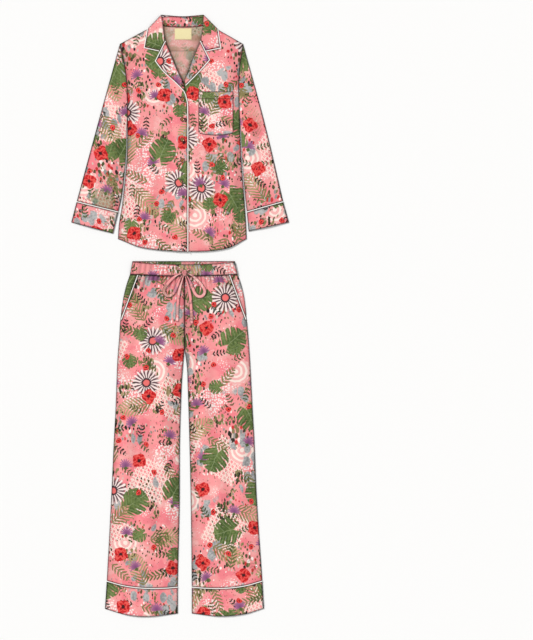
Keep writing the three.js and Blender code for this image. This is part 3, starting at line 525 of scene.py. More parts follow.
def frond(x, y, half, leaflets, lean, full, oval):
    """A stem with leaflets on both sides, longest at the middle, each as oval as given."""
    off = abs(x)
    reach = half * ((1 - y) * (1 + y)).root()
    out = 2 * off / reach - 1
    leaflet = ((y - lean * off) * leaflets).sine() + full - oval * out * out
    return (reach - off).least(leaflet * 0.06).most((0.026 - off).least((1 - abs(y)) * 0.1))


def printed(at):
    """The cloth's print: a salmon ground washed like watercolour, strewn with leaves, blooms and lace."""
    inputs = {"Vector": at, "Scale": 70, "Detail": 2.0}
    wobble = at.out("TexNoise", {"noise_dimensions": "2D"}, inputs, "Color")
    shift = at.vector("MULTIPLY_ADD", wobble, (0.005, 0.005, 0), (-0.0025, -0.0025, 0))
    drawn = at.vector("ADD", at, shift)
    wash = clouds(drawn, 0.05, 3.0)
    patch = clouds(at, 0.12, 1.0)
    fine = clouds(at, 0.006, 3.0)

    colour = over((wash - 0.5).brush(0.25), sRGB(248, 142, 146), sRGB(243, 160, 158))
    colour = over((wash - 0.66).brush(0.1) * 0.5, colour, sRGB(248, 196, 190))
    colour = over((0.42 - wash).brush(0.08) * 0.5, colour, sRGB(232, 118, 130))

    # Small strokes and dots between the motifs, in the print's own colours
    near, chance = cells(slanted(drawn, angle=0.9, squash=0.6), 0.0095)
    tones = picked(chance, [(136, 122, 84), (96, 84, 56), (214, 190, 178), (200, 54, 54), (80, 84, 50),
                            (250, 238, 230), (150, 146, 142), (46, 40, 32)])
    colour = over((1.5 * patch + 0.2 * wash - 0.73 - near).brush(0.06), colour, tones)

    # White flecks of lace in drifts
    near, chance = cells(drawn, 0.0068)
    fleck = ((0.43 - patch) * 3.4 + 0.05).least(0.36) + 0.3 * (fine - 0.5)
    colour = over((fleck - near).brush(0.08) * 0.9, colour, sRGB(250, 240, 234))

    # Cane lattice in squares, then lace fans with ringed arches
    own, x, y, chance = strewn(at, pitch=0.25, reach=0.062, seed=5, turn=0.3)
    square = (0.92 - abs(x).most(abs(y))).brush(0.05) * kept(chance, 0.4)
    strands = abs((x * 19).sine()).least(abs((y * 19).sine())).least(abs(((x + y) * 13.5).sine()))
    colour = over(square * (0.34 - strands).brush(0.1), colour, sRGB(252, 224, 212))
    own, x, y, chance = strewn(drawn, pitch=0.2, reach=0.046, seed=2, turn=1.6)
    radius, ray = polar(own, x, y)
    arch = (0.86 + 0.07 * abs((ray * 8).sine()) - radius).brush(0.04) * kept(chance, 0.3)
    arch = arch * (y + 0.2).brush(0.1)
    colour = over(arch, colour, sRGB(246, 182, 178))
    colour = over(arch * ((radius * 21).sine() - 0.15).brush(0.35), colour, sRGB(252, 232, 220))

    # Foliage of small olive and dark leaves close together, and grey oval leaves, both in drifts
    near, chance = cells(slanted(drawn, angle=-0.7, squash=0.5), 0.0075)
    tones = picked(chance, [(128, 122, 80), (84, 92, 52), (150, 132, 92), (62, 64, 40), (112, 112, 66),
                            (172, 150, 112), (52, 46, 34)])
    drift = clouds(moved(at, 5.3, 2.9), 0.085)
    foliage = ((drift - 0.57) * 4.4).least(0.5) + 0.3 * (fine - 0.5) - near
    colour = over(foliage.brush(0.06), colour, tones)
    near, chance = cells(slanted(drawn, angle=0.4, squash=0.6), 0.024, randomness=0.9)
    drift = clouds(moved(at, 3.1, 1.7), 0.13, 1.0)
    grey = (0.4 + 0.12 * (fine - 0.5) - near).brush(0.05) * (drift - 0.59).brush(0.02)
    colour = over(grey, colour, over((wash + fine - 1).brush(0.3), sRGB(142, 142, 142), sRGB(186, 184, 182)))

    # Tan palm fronds, olive ferns and dark sprigs
    own, x, y, chance = strewn(drawn, pitch=0.135, reach=0.05, seed=3)
    palm = frond(x, y, half=0.56, leaflets=29, lean=0.9, full=0.3, oval=0.7).brush(0.02) * kept(chance, 0.45)
    colour = over(palm, colour, over((y + wash - 0.3).brush(0.5), sRGB(132, 122, 78), sRGB(176, 156, 112)))
    own, x, y, chance = strewn(drawn, pitch=0.105, reach=0.036, seed=7)
    fern = frond(x, y, half=0.42, leaflets=20, lean=0.8, full=0.25, oval=0.9).brush(0.02) * kept(chance, 0.4)
    colour = over(fern, colour, over(kept(chance, 0.68), sRGB(104, 106, 60), sRGB(134, 122, 80)))
    own, x, y, chance = strewn(drawn, pitch=0.064, reach=0.021, seed=11)
    sprig = frond(x, y, half=0.5, leaflets=13, lean=0.5, full=0.05, oval=1.0).brush(0.04) * kept(chance, 0.42)
    colour = over(sprig, colour, over(kept(chance, 0.72), sRGB(80, 90, 50), sRGB(42, 42, 32)))

    # Pale daisies with a plum eye
    own, x, y, chance = strewn(drawn, pitch=0.24, reach=0.044, seed=13)
    radius, ray = polar(own, x, y)
    petal = abs((ray * 9).sine())
    daisy = (0.62 + 0.34 * petal.root() - radius).brush(0.05) * kept(chance, 0.55)
    colour = over(daisy, colour, over((0.72 - petal).brush(0.3), sRGB(250, 228, 222), sRGB(96, 70, 76)))
    colour = over((0.33 - radius).brush(0.05) * daisy, colour, sRGB(62, 44, 50))
    colour = over((0.22 - radius).brush(0.05) * daisy, colour, sRGB(240, 116, 112))

    # Mauve thistles on green cups
    own, x, y, chance = strewn(drawn, pitch=0.135, reach=0.021, seed=17, turn=1.4)
    radius, ray = polar(own, x, y)
    spikes = (0.45 + 0.5 * abs((ray * 8).sine()) - radius).least(y + 0.25).brush(0.08)
    colour = over(spikes, colour, over(radius, sRGB(122, 72, 114), sRGB(186, 116, 156)))
    colour = over((0.3 - abs(x) - abs(y + 0.42)).brush(0.06), colour, sRGB(84, 98, 56))

    # Broad split leaves, large and small
    for seed, pitch, reach in ((19, 0.165, 0.045), (23, 0.15, 0.024)):
        own, x, y, chance = strewn(drawn, pitch, reach, seed)
        shape, vein, off = split_leaf(x, y)
        green = over((wash + fine - 1).brush(0.4), sRGB(72, 92, 46), sRGB(112, 128, 72))
        green = over((-0.94 - vein).brush(0.05) * 0.5, green, sRGB(142, 156, 112))
        green = over((0.02 - off).brush(0.02) * 0.7, green, sRGB(150, 160, 118))
        colour = over(shape.brush(0.03) * kept(chance, 0.48), colour, green)

    # Red blooms and buds
    for seed, pitch, reach, petals in ((29, 0.15, 0.026, 4), (31, 0.085, 0.01, 2)):
        own, x, y, chance = strewn(drawn, pitch, reach, seed)
        radius, ray = polar(own, x, y)
        rim = 0.8 + 0.07 * (ray * petals + radius * 2.4).sine() + 0.05 * (ray * 3 + chance * 19).sine()
        shape = (rim + 0.24 * (fine - 0.5) - radius).brush(0.06) * kept(chance, 0.46)
        strokes = (radius * 9 + (ray * petals).sine() * 2.2 + fine * 8).sine()
        red = over((strokes - 0.2).brush(0.5), sRGB(214, 36, 38), sRGB(232, 88, 80))
        red = over((strokes + 0.8).brush(0.2), sRGB(168, 26, 32), red)
        red = over((0.2 + 0.3 * (fine - 0.5) - radius).brush(0.08), red, sRGB(66, 30, 30))
        colour = over(shape, colour, red)

    return colour


def finished(name, even, paint=None):
    """A new material: even holds what is the same all over it, and paint gives what changes."""
    made = bpy.data.materials.new(name)
    made.use_nodes = True
    tree = made.node_tree
    shader = tree.nodes["Principled BSDF"]
    for socket, value in even.items():
        shader.inputs[socket].default_value = value
    if paint:
        where = tree.nodes.new("ShaderNodeUVMap")
        where.uv_map = "print"
        for socket, value in paint(Dye(where.outputs[0])).items():
            tree.links.new(value.socket, shader.inputs[socket])
    return made


def shade_of(at):
    """The painted shade on the piece at a place, from 1 in the open down to 0 in a seam."""
    return at.out("Attribute", {"attribute_name": "shade"}, {}, "Fac")


LAWN = {"Roughness": 0.82, "Specular IOR Level": 0.18, "Sheen Weight": 0.05, "Sheen Roughness": 0.5}
THREAD_PITCH = 0.0009
# The colour that painted shade darkens the cloth towards
SEAM_SHADE = sRGB(36, 27, 29)


def lawn(name, paler=0.0, wrong_side=0.0):
    """Printed lawn in a plain weave, its print paler or showing softly through from the other side."""
    def paint(at):
        colour = printed(at)
        if paler:
            colour = over(paler, colour, sRGB(247, 168, 166))
        if wrong_side:
            soft = over((clouds(at, 0.065) - 0.45).brush(0.12), sRGB(222, 172, 162), sRGB(156, 148, 120))
            colour = over(wrong_side, colour, soft)
        # Painted shade: the seams, rims, gathers and pleat lines darkened by the piece's shade attribute
        colour = over(1 - shade_of(at), colour, over(1.0, colour, SEAM_SHADE, "MULTIPLY"))
        x, y = at.parts()
        threads = 2 * math.pi / THREAD_PITCH
        weave = (x * threads).sine() * (y * threads).sine()
        return {"Base Color": colour, "Normal": weave.relief(0.25, 0.0001)}

    return finished(name, LAWN, paint)


cloth = lawn("printed cloth")
tie_cloth = lawn("tie cloth", paler=0.5)
wrong_side = lawn("wrong side", wrong_side=0.74)
inside = [cloth, wrong_side]


def dress(piece, nodes, materials):
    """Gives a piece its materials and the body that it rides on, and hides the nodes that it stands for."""
    for material in materials:
        piece.data.materials.append(material)
    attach(piece, "root")
    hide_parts(*nodes)


def path_of(route, step=1.6):
    """A smooth path along a route, with a point at each step."""
    edge = smooth(route)
    rough = edge(np.linspace(0, 1, 60))
    length = np.hypot(*np.diff(rough, axis=0).T).sum()
    return edge(np.linspace(0, 1, max(8, round(length / step))))


def tape(name, route, fullness, print_at):
    """A stretch of the tie, narrow where it goes into the knot."""
    path = path_of(route)
    full = fullness(np.linspace(0, 1, len(path)))
    width = TAPE["neck"] + (TAPE["width"] - TAPE["neck"]) * full
    thick = TAPE["thick"] + TAPE["fuller"] * (1 - full)
    # The tape's sides are darkened with painted shade
    made = roll(name, path, width, thick, bow_base, TROUSER_AT, sides=16, prints=print_at,
                side_shade=(0.88, 0.5))
    dress(made, [name.removesuffix("_cloth")], [tie_cloth])
    return made, centre_line(path, TAPE["thick"], bow_base, TROUSER_AT)


def free_cord(piece, line_of, width, far_end, **others):
    """Takes the length of a limp cord's line of points and keeps nothing; it declares no piece.
    Its width in millimetres is not used.
    """
    length = float(np.sqrt((np.diff(line_of, axis=0) ** 2).sum(1)).sum())
    tuple(line_of[0])


def knot_form(rings=29, sides=32):
    """The bow's knot: a wrap of the tie drawn tight, with a groove on each side of its middle turn."""
    points, shade = [], []
    for t in np.pi * np.arange(rings) / (rings - 1):
        along = -math.cos(t)
        swell = math.sin(t) ** 0.7 * (1 + 0.11 * math.cos(along * 9))
        groove = 0.4 + 0.6 * math.cos(along * 9) ** 2
        for a in 2 * np.pi * np.arange(sides) / sides:
            wide = swell * (1 + 0.05 * math.cos(3 * a + along * 3))
            points.append((KNOT["x"] + KNOT["across"] * wide * math.cos(a) * 0.94,
                           KNOT["down"] + KNOT["along"] * along * 0.96,
                           BAND_TOP + GAP + KNOT["high"] * (1 + wide * math.sin(a) * 0.95)))
            # Painted shade: darker in the grooves between the wraps and at the knot's sides
            shade.append(groove * (1 - 0.8 * ease(abs(math.cos(a)), 0.6, 1)))
    points = place(points, TROUSER_AT)
    points = np.vstack([points, points[:sides].mean(0), points[-sides:].mean(0)])
    return points, ringed(rings, sides), shade + [0.5, 0.5]


knot_points, knot_faces, knot_shade = knot_form()
knot = solid_mesh("drawstring_knot_cloth", knot_points, knot_faces, knot_points[:, :2] + (0.62, 0.9),
                  knot_shade)
dress(knot, ["drawstring_knot"], [tie_cloth])

SIDES = (("left", 1), ("right", -1))
TIE_PRINT = {
    "left": {"lead": (2.2, 0.3), "loop": (0.41, 0.1), "tail": (1.27, 0.22)},
    "right": {"lead": (2.2, 0.3), "loop": (0.83, 0.36), "tail": (1.7, 0.5)},
}
for side, away in SIDES:
    prints = TIE_PRINT[side]
    lead, lead_line = tape(f"drawstring_lead_{side}_cloth", LEAD[side],
                           lambda s: 0.25 * (1 - s), prints["lead"])
    loop, loop_line = tape(f"drawstring_loop_{side}_cloth", LOOP[side],
                           lambda s: ease(np.minimum(s, 1 - s), 0, 0.22), prints["loop"])
    free_cord(loop, loop_line, TAPE["width"], "object",
              with_pieces=[lead, knot] if side == "left" else [lead])
    tail, tail_line = tape(f"drawstring_tail_{side}_cloth", TAIL[side],
                           lambda s: ease(s, 0, 0.4), prints["tail"])
    free_cord(tail, tail_line, TAPE["width"], "bare")

# Trouser legs
# Two fronts and two backs of printed lawn, sewn down the sides, the inside legs and the middle. The fronts
# are gathered into the waistband, and the backs lie flat on the floor with shallow creases pressed in.
THIN = 0.9
ON_FLOOR = 0.02
# Rims: where their grid lines lie, how far they sink and turn in, and how wide each of the two is
RIM = np.array([0, 0.5, 1.2, 2.2, 3.6])
SUNK, SINK_WIDE = 0.35, 2.4
TURNED, TURN_WIDE = 0.42, 0.9
# How wide the painted shadow line along every rim is
RIM_SHADOW_WIDE = 2.7
SLANT = {"left": ((-140.7, 41.5), (-190.6, 175)), "right": ((137.1, 41.5), (186.2, 175))}
SLANT_DOWNS = [41.5, 55, 72, 94, 120, 148, 175]
LEG_DOWNS = [224, CROTCH, 330, 400, 480, 560, 650, 740, 830, 900, 960]
CENTRE_DOWNS = [45, 57, 74, 95, 120, 148, 178, 224, CROTCH, 330, 400, 480, 560, 650, 745, 840, 912, 978]
BACK_DOWNS = [40, 110, 175, CROTCH, 400, 560, 740, 860, 960]
BACK_CENTRE_DOWNS = [45, 110, 178, CROTCH, 400, 560, 745, 880, 978]
HEM_SEAM = {
    "left": [(-232.8, 960), (-180, 974), (-118.8, 981), (-60, 981), (-20.1, 978)],
    "right": [(233.7, 960), (182, 974), (123.6, 981), (65, 981), (22.2, 978)],
}
TROUSER_HEM = {
    "left": [(-238.2, 1043), (-167.4, 1062.5), (-100.2, 1066), (-20.1, 1057)],
    "right": [(238.5, 1042), (179.7, 1059), (105, 1065.5), (22.2, 1057)],
}
PIPED = 3.15
PIPED_SEAM = 1.65


def lines(length, step):
    """Places of a grid's lines along a length: about a step apart, and closer at both rims."""
    if length < 16:
        return np.linspace(0, 1, 9)
    middle = np.linspace(5.6, length - 5.6, max(2, round((length - 11) / step) + 1))
    return np.concatenate([RIM, middle, length - RIM[::-1]]) / length


def between(edges):
    """The patch that fills four edges."""
    top, bottom, left, right = (edges[key] for key in ("top", "bottom", "left", "right"))
    a, b, c, d = left(0.0), right(0.0), left(1.0), right(1.0)

    def point(u, v):
        wide, long = u[..., None], v[..., None]
        ends = (1 - long) * ((1 - wide) * a + wide * b) + long * ((1 - wide) * c + wide * d)
        return (1 - wide) * left(v) + wide * right(v) + (1 - long) * top(u) + long * bottom(u) - ends

    return point


def margins(point, s, side, inset):
    """How far across the patch an edge's inset reaches, at each place along that edge."""
    h = 1e-3
    ahead, behind = np.minimum(s + h, 1), np.maximum(s - h, 0)
    fixed = np.full_like(s, 0.0 if side in ("left", "top") else 1.0)
    inner = np.abs(fixed - h)
    if side in ("left", "right"):
        edge, inward = point(fixed, s), point(inner, s)
        run = point(fixed, ahead) - point(fixed, behind)
    else:
        edge, inward = point(s, fixed), point(s, inner)
        run = point(ahead, fixed) - point(behind, fixed)
    reach = (inward - edge) / h
    cross = np.abs(reach[:, 0] * run[:, 1] - reach[:, 1] * run[:, 0]) / np.hypot(run[:, 0], run[:, 1])
    value = inset(s) if callable(inset) else inset
    return np.clip(value / cross, 0, 0.4)


def lay_out(edges, step, insets):
    """A fine grid over a panel: points, their places u and v, and the distance from each edge."""
    point = between(edges)
    s = np.linspace(0, 1, 60)
    length = {key: np.hypot(*np.diff(edges[key](s), axis=0).T).sum() for key in edges}
    step_u, step_v = step if isinstance(step, tuple) else (step, step)
    u = lines((length["top"] + length["bottom"]) / 2, step_u)
    v = lines((length["left"] + length["right"]) / 2, step_v)
    inset = {key: insets.get(key, GAP / 2) for key in ("left", "right", "top", "bottom")}
    near, far = (margins(point, v, key, inset[key])[:, None] for key in ("left", "right"))
    wide = near + (1 - near - far) * u[None, :]
    near, far = (margins(point, u, key, inset[key])[None, :] for key in ("top", "bottom"))
    long = near + (1 - near - far) * v[:, None]
    plan = point(wide, long)
    across = np.hypot(*np.moveaxis(np.diff(plan, axis=1), -1, 0))
    along = np.hypot(*np.moveaxis(np.diff(plan, axis=0), -1, 0))
    reach = {"left": np.concatenate([np.zeros((len(v), 1)), np.cumsum(across, 1)], 1),
             "top": np.concatenate([np.zeros((1, len(u))), np.cumsum(along, 0)], 0)}
    reach["right"] = reach["left"][:, -1:] - reach["left"]
    reach["bottom"] = reach["top"][-1:] - reach["top"]
    return plan, wide, long, reach


def edge_shadows(reach, shade, rim=0.95):
    """The painted soft shade along named edges, each with its depth and width, and the thin painted shadow line
    at all of them.
    """
    value = 1 - rim * np.exp(-((np.minimum.reduce(list(reach.values())) / RIM_SHADOW_WIDE) ** 2))
    for key, (depth, width) in shade.items():
        value = value * (1 - depth * np.exp(-reach[key] / width))
    return value * np.ones_like(reach["left"])


def grain(plan, angle, offset):
    """Where a piece lies on the length of printed cloth that it is cut from, in metres."""
    x, y = plan[..., 0] * MM, -plan[..., 1] * MM
    return np.stack([x * math.cos(angle) + y * math.sin(angle) + offset[0],
                     y * math.cos(angle) - x * math.sin(angle) + offset[1]], -1)


def join_faces(outer, inner):
    """Quads of a closed shell between an outer and an inner grid, and which of them are the inner side."""
    rows, columns = outer.shape
    sheet = [np.stack([grid[:-1, :-1], grid[1:, :-1], grid[1:, 1:], grid[:-1, 1:]], -1).reshape(-1, 4)
             for grid in (outer, inner)]
    ring = np.concatenate([np.arange(rows - 1) * columns, (rows - 1) * columns + np.arange(columns - 1),
                           np.arange(rows - 1, 0, -1) * columns + columns - 1, np.arange(columns - 1, 0, -1)])
    after = np.roll(ring, -1)
    out, back = outer.ravel(), inner.ravel()
    rim = np.stack([out[ring], back[ring], back[after], out[after]], -1)
    faces = np.concatenate([sheet[0], sheet[1][:, ::-1], rim[:, ::-1]])
    wrong = np.repeat([0, 1, 0], [len(sheet[0]), len(sheet[1]), len(rim)])
    return [tuple(face) for face in faces.tolist()], wrong


def laid_flat(plan, prints):
    """A piece's width and length along the grain of the cloth, and its flat area, in metres."""
    p, q = plan[1:, 1:] - plan[:-1, :-1], plan[:-1, 1:] - plan[1:, :-1]
    area = float(np.abs(p[..., 0] * q[..., 1] - p[..., 1] * q[..., 0]).sum() / 2 * MM * MM)
    width, length = (float(value) for value in np.ptp(prints, axis=0))
    return (width, length), min(area, width * length)


def panel(name, edges, base, where, step=5, thick=THIN, insets=None, shade=None, angle=0.0, offset=(0, 0),
          sunk=SUNK, nodes=(), materials=None, up=True, dark=None,
          wrong_side_shade=None):
    """A flat piece of cloth between four edges. base gives its underside, and its rims turn in and sink a
    little. dark and wrong_side_shade hold the painted shade of its printed and its wrong side; up is False
    where it lies face down."""
    plan, u, v, reach = lay_out(edges, step, insets or {})
    x, down = plan[..., 0], plan[..., 1]
    edge = np.minimum.reduce(list(reach.values()))
    low = base(x, down, u, v) - sunk * np.exp(-edge / SINK_WIDE)
    body = thick(x, down) if callable(thick) else thick
    high = low + body * (1 - TURNED * np.exp(-edge / TURN_WIDE))
    low = low + (0.12 * np.exp(-edge / TURN_WIDE) if up else 0)
    points = np.concatenate([np.stack([x, down, z], -1).reshape(-1, 3) for z in (high, low)])
    size = x.size
    grid = np.arange(size).reshape(x.shape)
    faces, wrong = join_faces(grid, grid + size)
    if not up:
        wrong = 1 - wrong
    prints = np.tile(grain(plan, angle, offset).reshape(-1, 2), (2, 1))
    # Painted shade: soft shadows and rim lines on the printed side, and the wrong side's own shade
    shown = edge_shadows(reach, shade or {}) * (1 - dark(x, down, u, v) if dark else 1)
    other = edge_shadows(reach, {}, rim=0.2) * (1 - wrong_side_shade(x, down, u, v)) if wrong_side_shade else shown
    painted_shade = np.concatenate([other.ravel(), shown.ravel()])
    made = solid_mesh(name, place(points, where), faces, prints, painted_shade, wrong)
    dress(made, nodes, materials or inside)
    flat, area = laid_flat(plan, prints)


def by_down(table, side, downs):
    """A garment's side between listed heights, stepping evenly from one to the next."""
    x = column(table, side)
    places = np.linspace(0, 1, len(downs))

    def edge(s):
        down = np.interp(s, places, downs)
        return np.stack([x(down), down], -1)

    return edge


def waist(start, end):
    """The waistband's seam between two places across."""
    def edge(s):
        x = start + (end - start) * np.asarray(s, float)
        return np.stack([x, WAIST["down"] - WAIST["rise"] * (x / WAIST["half"]) ** 2], -1)

    return edge


def gather_wave(u, count):
    """Gathers across a piece, uneven in width and depth."""
    shifted = u + 0.011 * np.sin(19 * u + 0.6) + 0.006 * np.sin(47 * u)
    depth = 0.78 + 0.22 * np.sin(23 * u + 1.1)
    return (0.5 - 0.5 * np.cos(2 * np.pi * count * shifted)) * depth


def gather_fade(down, u):
    reach = GATHER["near"] + (GATHER["far"] - GATHER["near"]) * (0.5 + 0.5 * np.sin(9.7 * u + 1.3))
    return 1 - ease(down, WAIST["down"], reach)


def leg_front(x, down, u, v):
    rise = GATHER["rise"] * gather_fade(down, u)
    return LAYER + leg_loft(x, down) + rise * gather_wave(u, GATHER["legs"])


def gather_dark(x, down, u, v):
    """The shadow between gathers."""
    return 0.6 * gather_fade(down, u) ** 1.5 * (1 - gather_wave(u, GATHER["legs"])) ** 4


def pressed(x, down):
    """Shallow creases pressed up into a back from the floor."""
    waves = np.sin(x / 31 + 0.8 * np.sin(down / 83)) * np.sin(down / 96 + x / 140)
    return 0.28 * np.clip(waves, 0, 1) ** 2


def leg_back(x, down, u, v):
    rise = 0.45 * (1 - ease(down, WAIST["down"], 110)) * gather_wave(u, GATHER["legs"] + 2)
    return ON_FLOOR + pressed(x, down) + rise


def slant_edge(side):
    (x0, d0), (x1, d1) = SLANT[side]
    places = np.linspace(0, 1, len(SLANT_DOWNS))
    return lambda s: np.stack([np.interp(np.interp(s, places, SLANT_DOWNS), [d0, d1], [x0, x1]),
                               np.interp(s, places, SLANT_DOWNS)], -1)


def one_after(first_edge, first_steps, second_edge, second_steps):
    """Two edges end to end, each given its share of the steps."""
    turn = first_steps / (first_steps + second_steps)

    def edge(s):
        s = np.asarray(s, float)
        before = first_edge(np.clip(s / turn, 0, 1))
        after = second_edge(np.clip((s - turn) / (1 - turn), 0, 1))
        return np.where((s < turn)[..., None], before, after)

    return edge


for side, at_print in (("left", (0.0, 0.0)), ("right", (0.9, 0.35))):
    slant_steps = len(SLANT_DOWNS) - 1
    outer_edge = one_after(slant_edge(side), slant_steps, by_down(TROUSER_SIDE, side, [175] + LEG_DOWNS),
                           len(LEG_DOWNS))
    hem_seam = smooth(HEM_SEAM[side])
    panel(f"leg_{side}_front_cloth",
          {"top": waist(SLANT[side][0][0], INSEAM[side][0]), "bottom": hem_seam, "left": outer_edge,
           "right": by_down(INSEAM, side, CENTRE_DOWNS)},
          leg_front, TROUSER_AT, step=(2.3, 7),
          insets={"left": lambda s: np.where(s * 17 < 6, PIPED, GAP / 2), "bottom": PIPED_SEAM},
          shade={"left": (0.25, 12), "right": (0.36, 16), "top": (0.2, 9)}, offset=at_print, dark=gather_dark,
          nodes=[f"leg_{side}_front"])
    panel(f"leg_{side}_back_cloth",
          {"top": waist(TROUSER_SIDE[side][0], INSEAM[side][0]), "bottom": hem_seam,
           "left": by_down(TROUSER_SIDE, side, BACK_DOWNS), "right": by_down(INSEAM, side, BACK_CENTRE_DOWNS)},
          leg_back, TROUSER_AT, step=(5, 9), insets={"bottom": PIPED_SEAM}, sunk=0.0, up=False,
          shade={"left": (0.25, 10), "right": (0.35, 14)}, offset=(at_print[0] + 2.1, 0.6),
          nodes=[f"leg_{side}_back"])

# Shirt back
# The back of the shirt and its yoke, seen on their wrong side in the neck opening and printed underneath.
# The yoke is sewn across at the shoulder blades, and a box pleat is pressed into the back below it.
SHIRT_AT = (5.7, 902.5)
SHIRT_SIDE = {
    "down": [88, 155, 217, 307, 403, 478, 568, 628, 673],
    "left": [-187, -172, -165.5, -164.5, -164.5, -169.5, -179.5, -189, -192],
    "right": [184, 174, 171, 173.5, 176.5, 181, 188, 192, 194],
}
SHIRT_HEM = {"x": [-192, -117, 17, 131, 194], "down": [673, 700, 711, 702.5, 673]}
NECK_SEAM = [(-70, 26), (-50, 35.5), (2, 38), (55, 35.5), (75, 26)]
SHOULDER_TIP = {"left": (-187, 88), "right": (184, 88)}
YOKE_SEAM = 109
SHIRT_BACK_DOWNS = [YOKE_SEAM, 150, 185, 222, 262, 307, 395, 485, 575, 673]
PLEAT = {"half": 11, "crease": 2.5, "depth": 0.5, "end": 300}
# How each layer steps up over the collar's fall: across from and to, down from and to
NECK_STEP = [(120, 150, 52, 100), (138, 170, 70, 124), (156, 190, 88, 148)]
SHIRT_FOLDS = [
    (-139, 330, -148, 625, 30, 4.5), (-92, 430, -104, 690, 26, 3.2), (-118, 150, -134, 290, 26, 2.8),
    (146, 390, 156, 640, 30, 4.2), (82, 420, 96, 680, 28, 3), (-196, 270, -212, 520, 24, 4.5),
    (-238, 330, -268, 480, 20, 3), (200, 265, 214, 510, 24, 4.2), (240, 350, 262, 500, 20, 2.8),
]
# Lesser creases: pulls from the armholes, the chest and the buttons, and breaks across the sleeves
SHIRT_CREASES = [
    (-162, 205, -96, 262, 12, 1.5), (-160, 262, -78, 300, 11, 1.2), (168, 212, 158, 300, 9, 1.1),
    (-30, 318, -84, 346, 10, 0.9), (-22, 440, -96, 470, 11, 1.1), (20, 372, 74, 398, 10, 1),
    (24, 470, 118, 520, 12, 1.3), (-60, 520, -122, 572, 12, 1.2), (44, 590, 70, 690, 12, 1.2),
    (-34, 600, -52, 694, 12, 1.2), (172, 480, 128, 560, 12, 1.1), (-186, 330, -232, 352, 9, 1.3),
    (-202, 402, -262, 420, 9, 1.2), (-212, 470, -284, 500, 10, 1.3), (-240, 548, -290, 540, 9, 1),
    (190, 322, 236, 346, 9, 1.3), (198, 398, 258, 412, 9, 1.2), (210, 462, 276, 492, 10, 1.3),
    (236, 540, 286, 534, 9, 1),
]

FRONT_EDGE = {
    "down": [26, 79, 127, 160, 200, 228, 262, 711],
    "left": [-70, -49.5, -30.5, -17, 2.5, 11.5, 15.8, 16.5],
    "right": [75, 55.5, 34.5, 22, 6.5, -6.5, -12.6, -12.6],
}

shirt_side = both(SHIRT_SIDE)
front_edge = {side: column(FRONT_EDGE, side) for side in ("left", "right")}
hem_down = column(SHIRT_HEM, "down", by="x")


def neck_lift(x, down, layer):
    near, far, start, end = NECK_STEP[layer]
    return LAYER * (1 - ease(np.abs(x - 2.4), near, far)) * (1 - ease(down, start, end))


def hem_line(start, end):
    def edge(s):
        x = start + (end - start) * np.asarray(s, float)
        return np.stack([x, hem_down(x)], -1)

    return edge


def shirt_back(x, down, u, v):
    off = np.abs(np.abs(x - 1) - PLEAT["half"]) / PLEAT["crease"]
    crease = PLEAT["depth"] * np.clip(1 - off, 0, 1) * (1 - ease(down, YOKE_SEAM + 40, PLEAT["end"]))
    return ON_FLOOR + crease + pressed(x, down) * ease(down, YOKE_SEAM, 200)


def neck_dark(x, down, u, v):
    """The shadow that the lapels' rolls cast on the back beside them."""
    near = np.clip(np.minimum(x - front_edge["left"](down), front_edge["right"](down) - x), 0, None)
    return 0.5 * np.exp(-near / 9)


def pleat_dark(x, down, u, v):
    """Painted shade along the lines of the box pleat, on the side that lies down."""
    off = (np.abs(x - 1) - PLEAT["half"]) / 2.6
    return 0.7 * np.exp(-off * off) * (1 - ease(down, YOKE_SEAM + 60, PLEAT["end"]))


yoke_end = {side: float(column(SHIRT_SIDE, side)(YOKE_SEAM)) for side in ("left", "right")}
yoke_seam = line((yoke_end["left"], YOKE_SEAM), (yoke_end["right"], YOKE_SEAM))
panel("back_cloth",
      {"top": yoke_seam, "bottom": hem_line(-192, 194), "left": by_down(SHIRT_SIDE, "left", SHIRT_BACK_DOWNS),
       "right": by_down(SHIRT_SIDE, "right", SHIRT_BACK_DOWNS)},
      shirt_back, SHIRT_AT, step=(4.5, 8), sunk=0.0, up=False, shade={"top": (0.3, 14)}, offset=(3.1, 1.2),
      nodes=["back"], dark=pleat_dark, wrong_side_shade=neck_dark)

neck_edge = smooth(NECK_SEAM)
shoulder_left = line(SHOULDER_TIP["left"], NECK_SEAM[0])
shoulder_right = line(NECK_SEAM[-1], SHOULDER_TIP["right"])
yoke_top = one_after(one_after(shoulder_left, 5, neck_edge, 8), 13, shoulder_right, 5)
panel("back_yoke_cloth",
      {"top": yoke_top, "bottom": yoke_seam, "left": line(SHOULDER_TIP["left"], (yoke_end["left"], YOKE_SEAM)),
       "right": line(SHOULDER_TIP["right"], (yoke_end["right"], YOKE_SEAM))},
      lambda x, down, u, v: ON_FLOOR + neck_lift(x, down, 0), SHIRT_AT, step=(5, 5), sunk=0.0,
      up=False,
      shade={"top": (0.4, 12), "bottom": (0.25, 8)}, offset=(4.2, 0.4), nodes=["back_yoke"],
      wrong_side_shade=neck_dark)

# Fronts
# Two fronts of printed lawn, the left one lapped over the right. Each has a soft edge along the armhole and
# the side, and turns back on itself along the roll of its lapel.
LAP_START = -12.6
FRONT_DOWNS = [88, YOKE_SEAM, 150, 185, 222, 262, 307, 350, 395, 440, 485, 530, 575, 622, 673]
EDGE_DOWNS = [26, 62, 98, 135, 172, 212, 256, 305, 355, 405, 455, 510, 570, 640, 711]


def shirt_front(x, down):
    to_side = np.abs(shirt_side(x, down)) - np.abs(x)
    loft = LOFT["shirt"] * ease(to_side, 0, LOFT["fade"]) * ease(down, 60, 190)
    folds = ridges(SHIRT_FOLDS, x, down) + CREASED * ridges(SHIRT_CREASES, x, down) + rumple(x, down)
    return LAYER + neck_lift(x, down, 1) + loft + folds * ease(to_side, 0, 30)


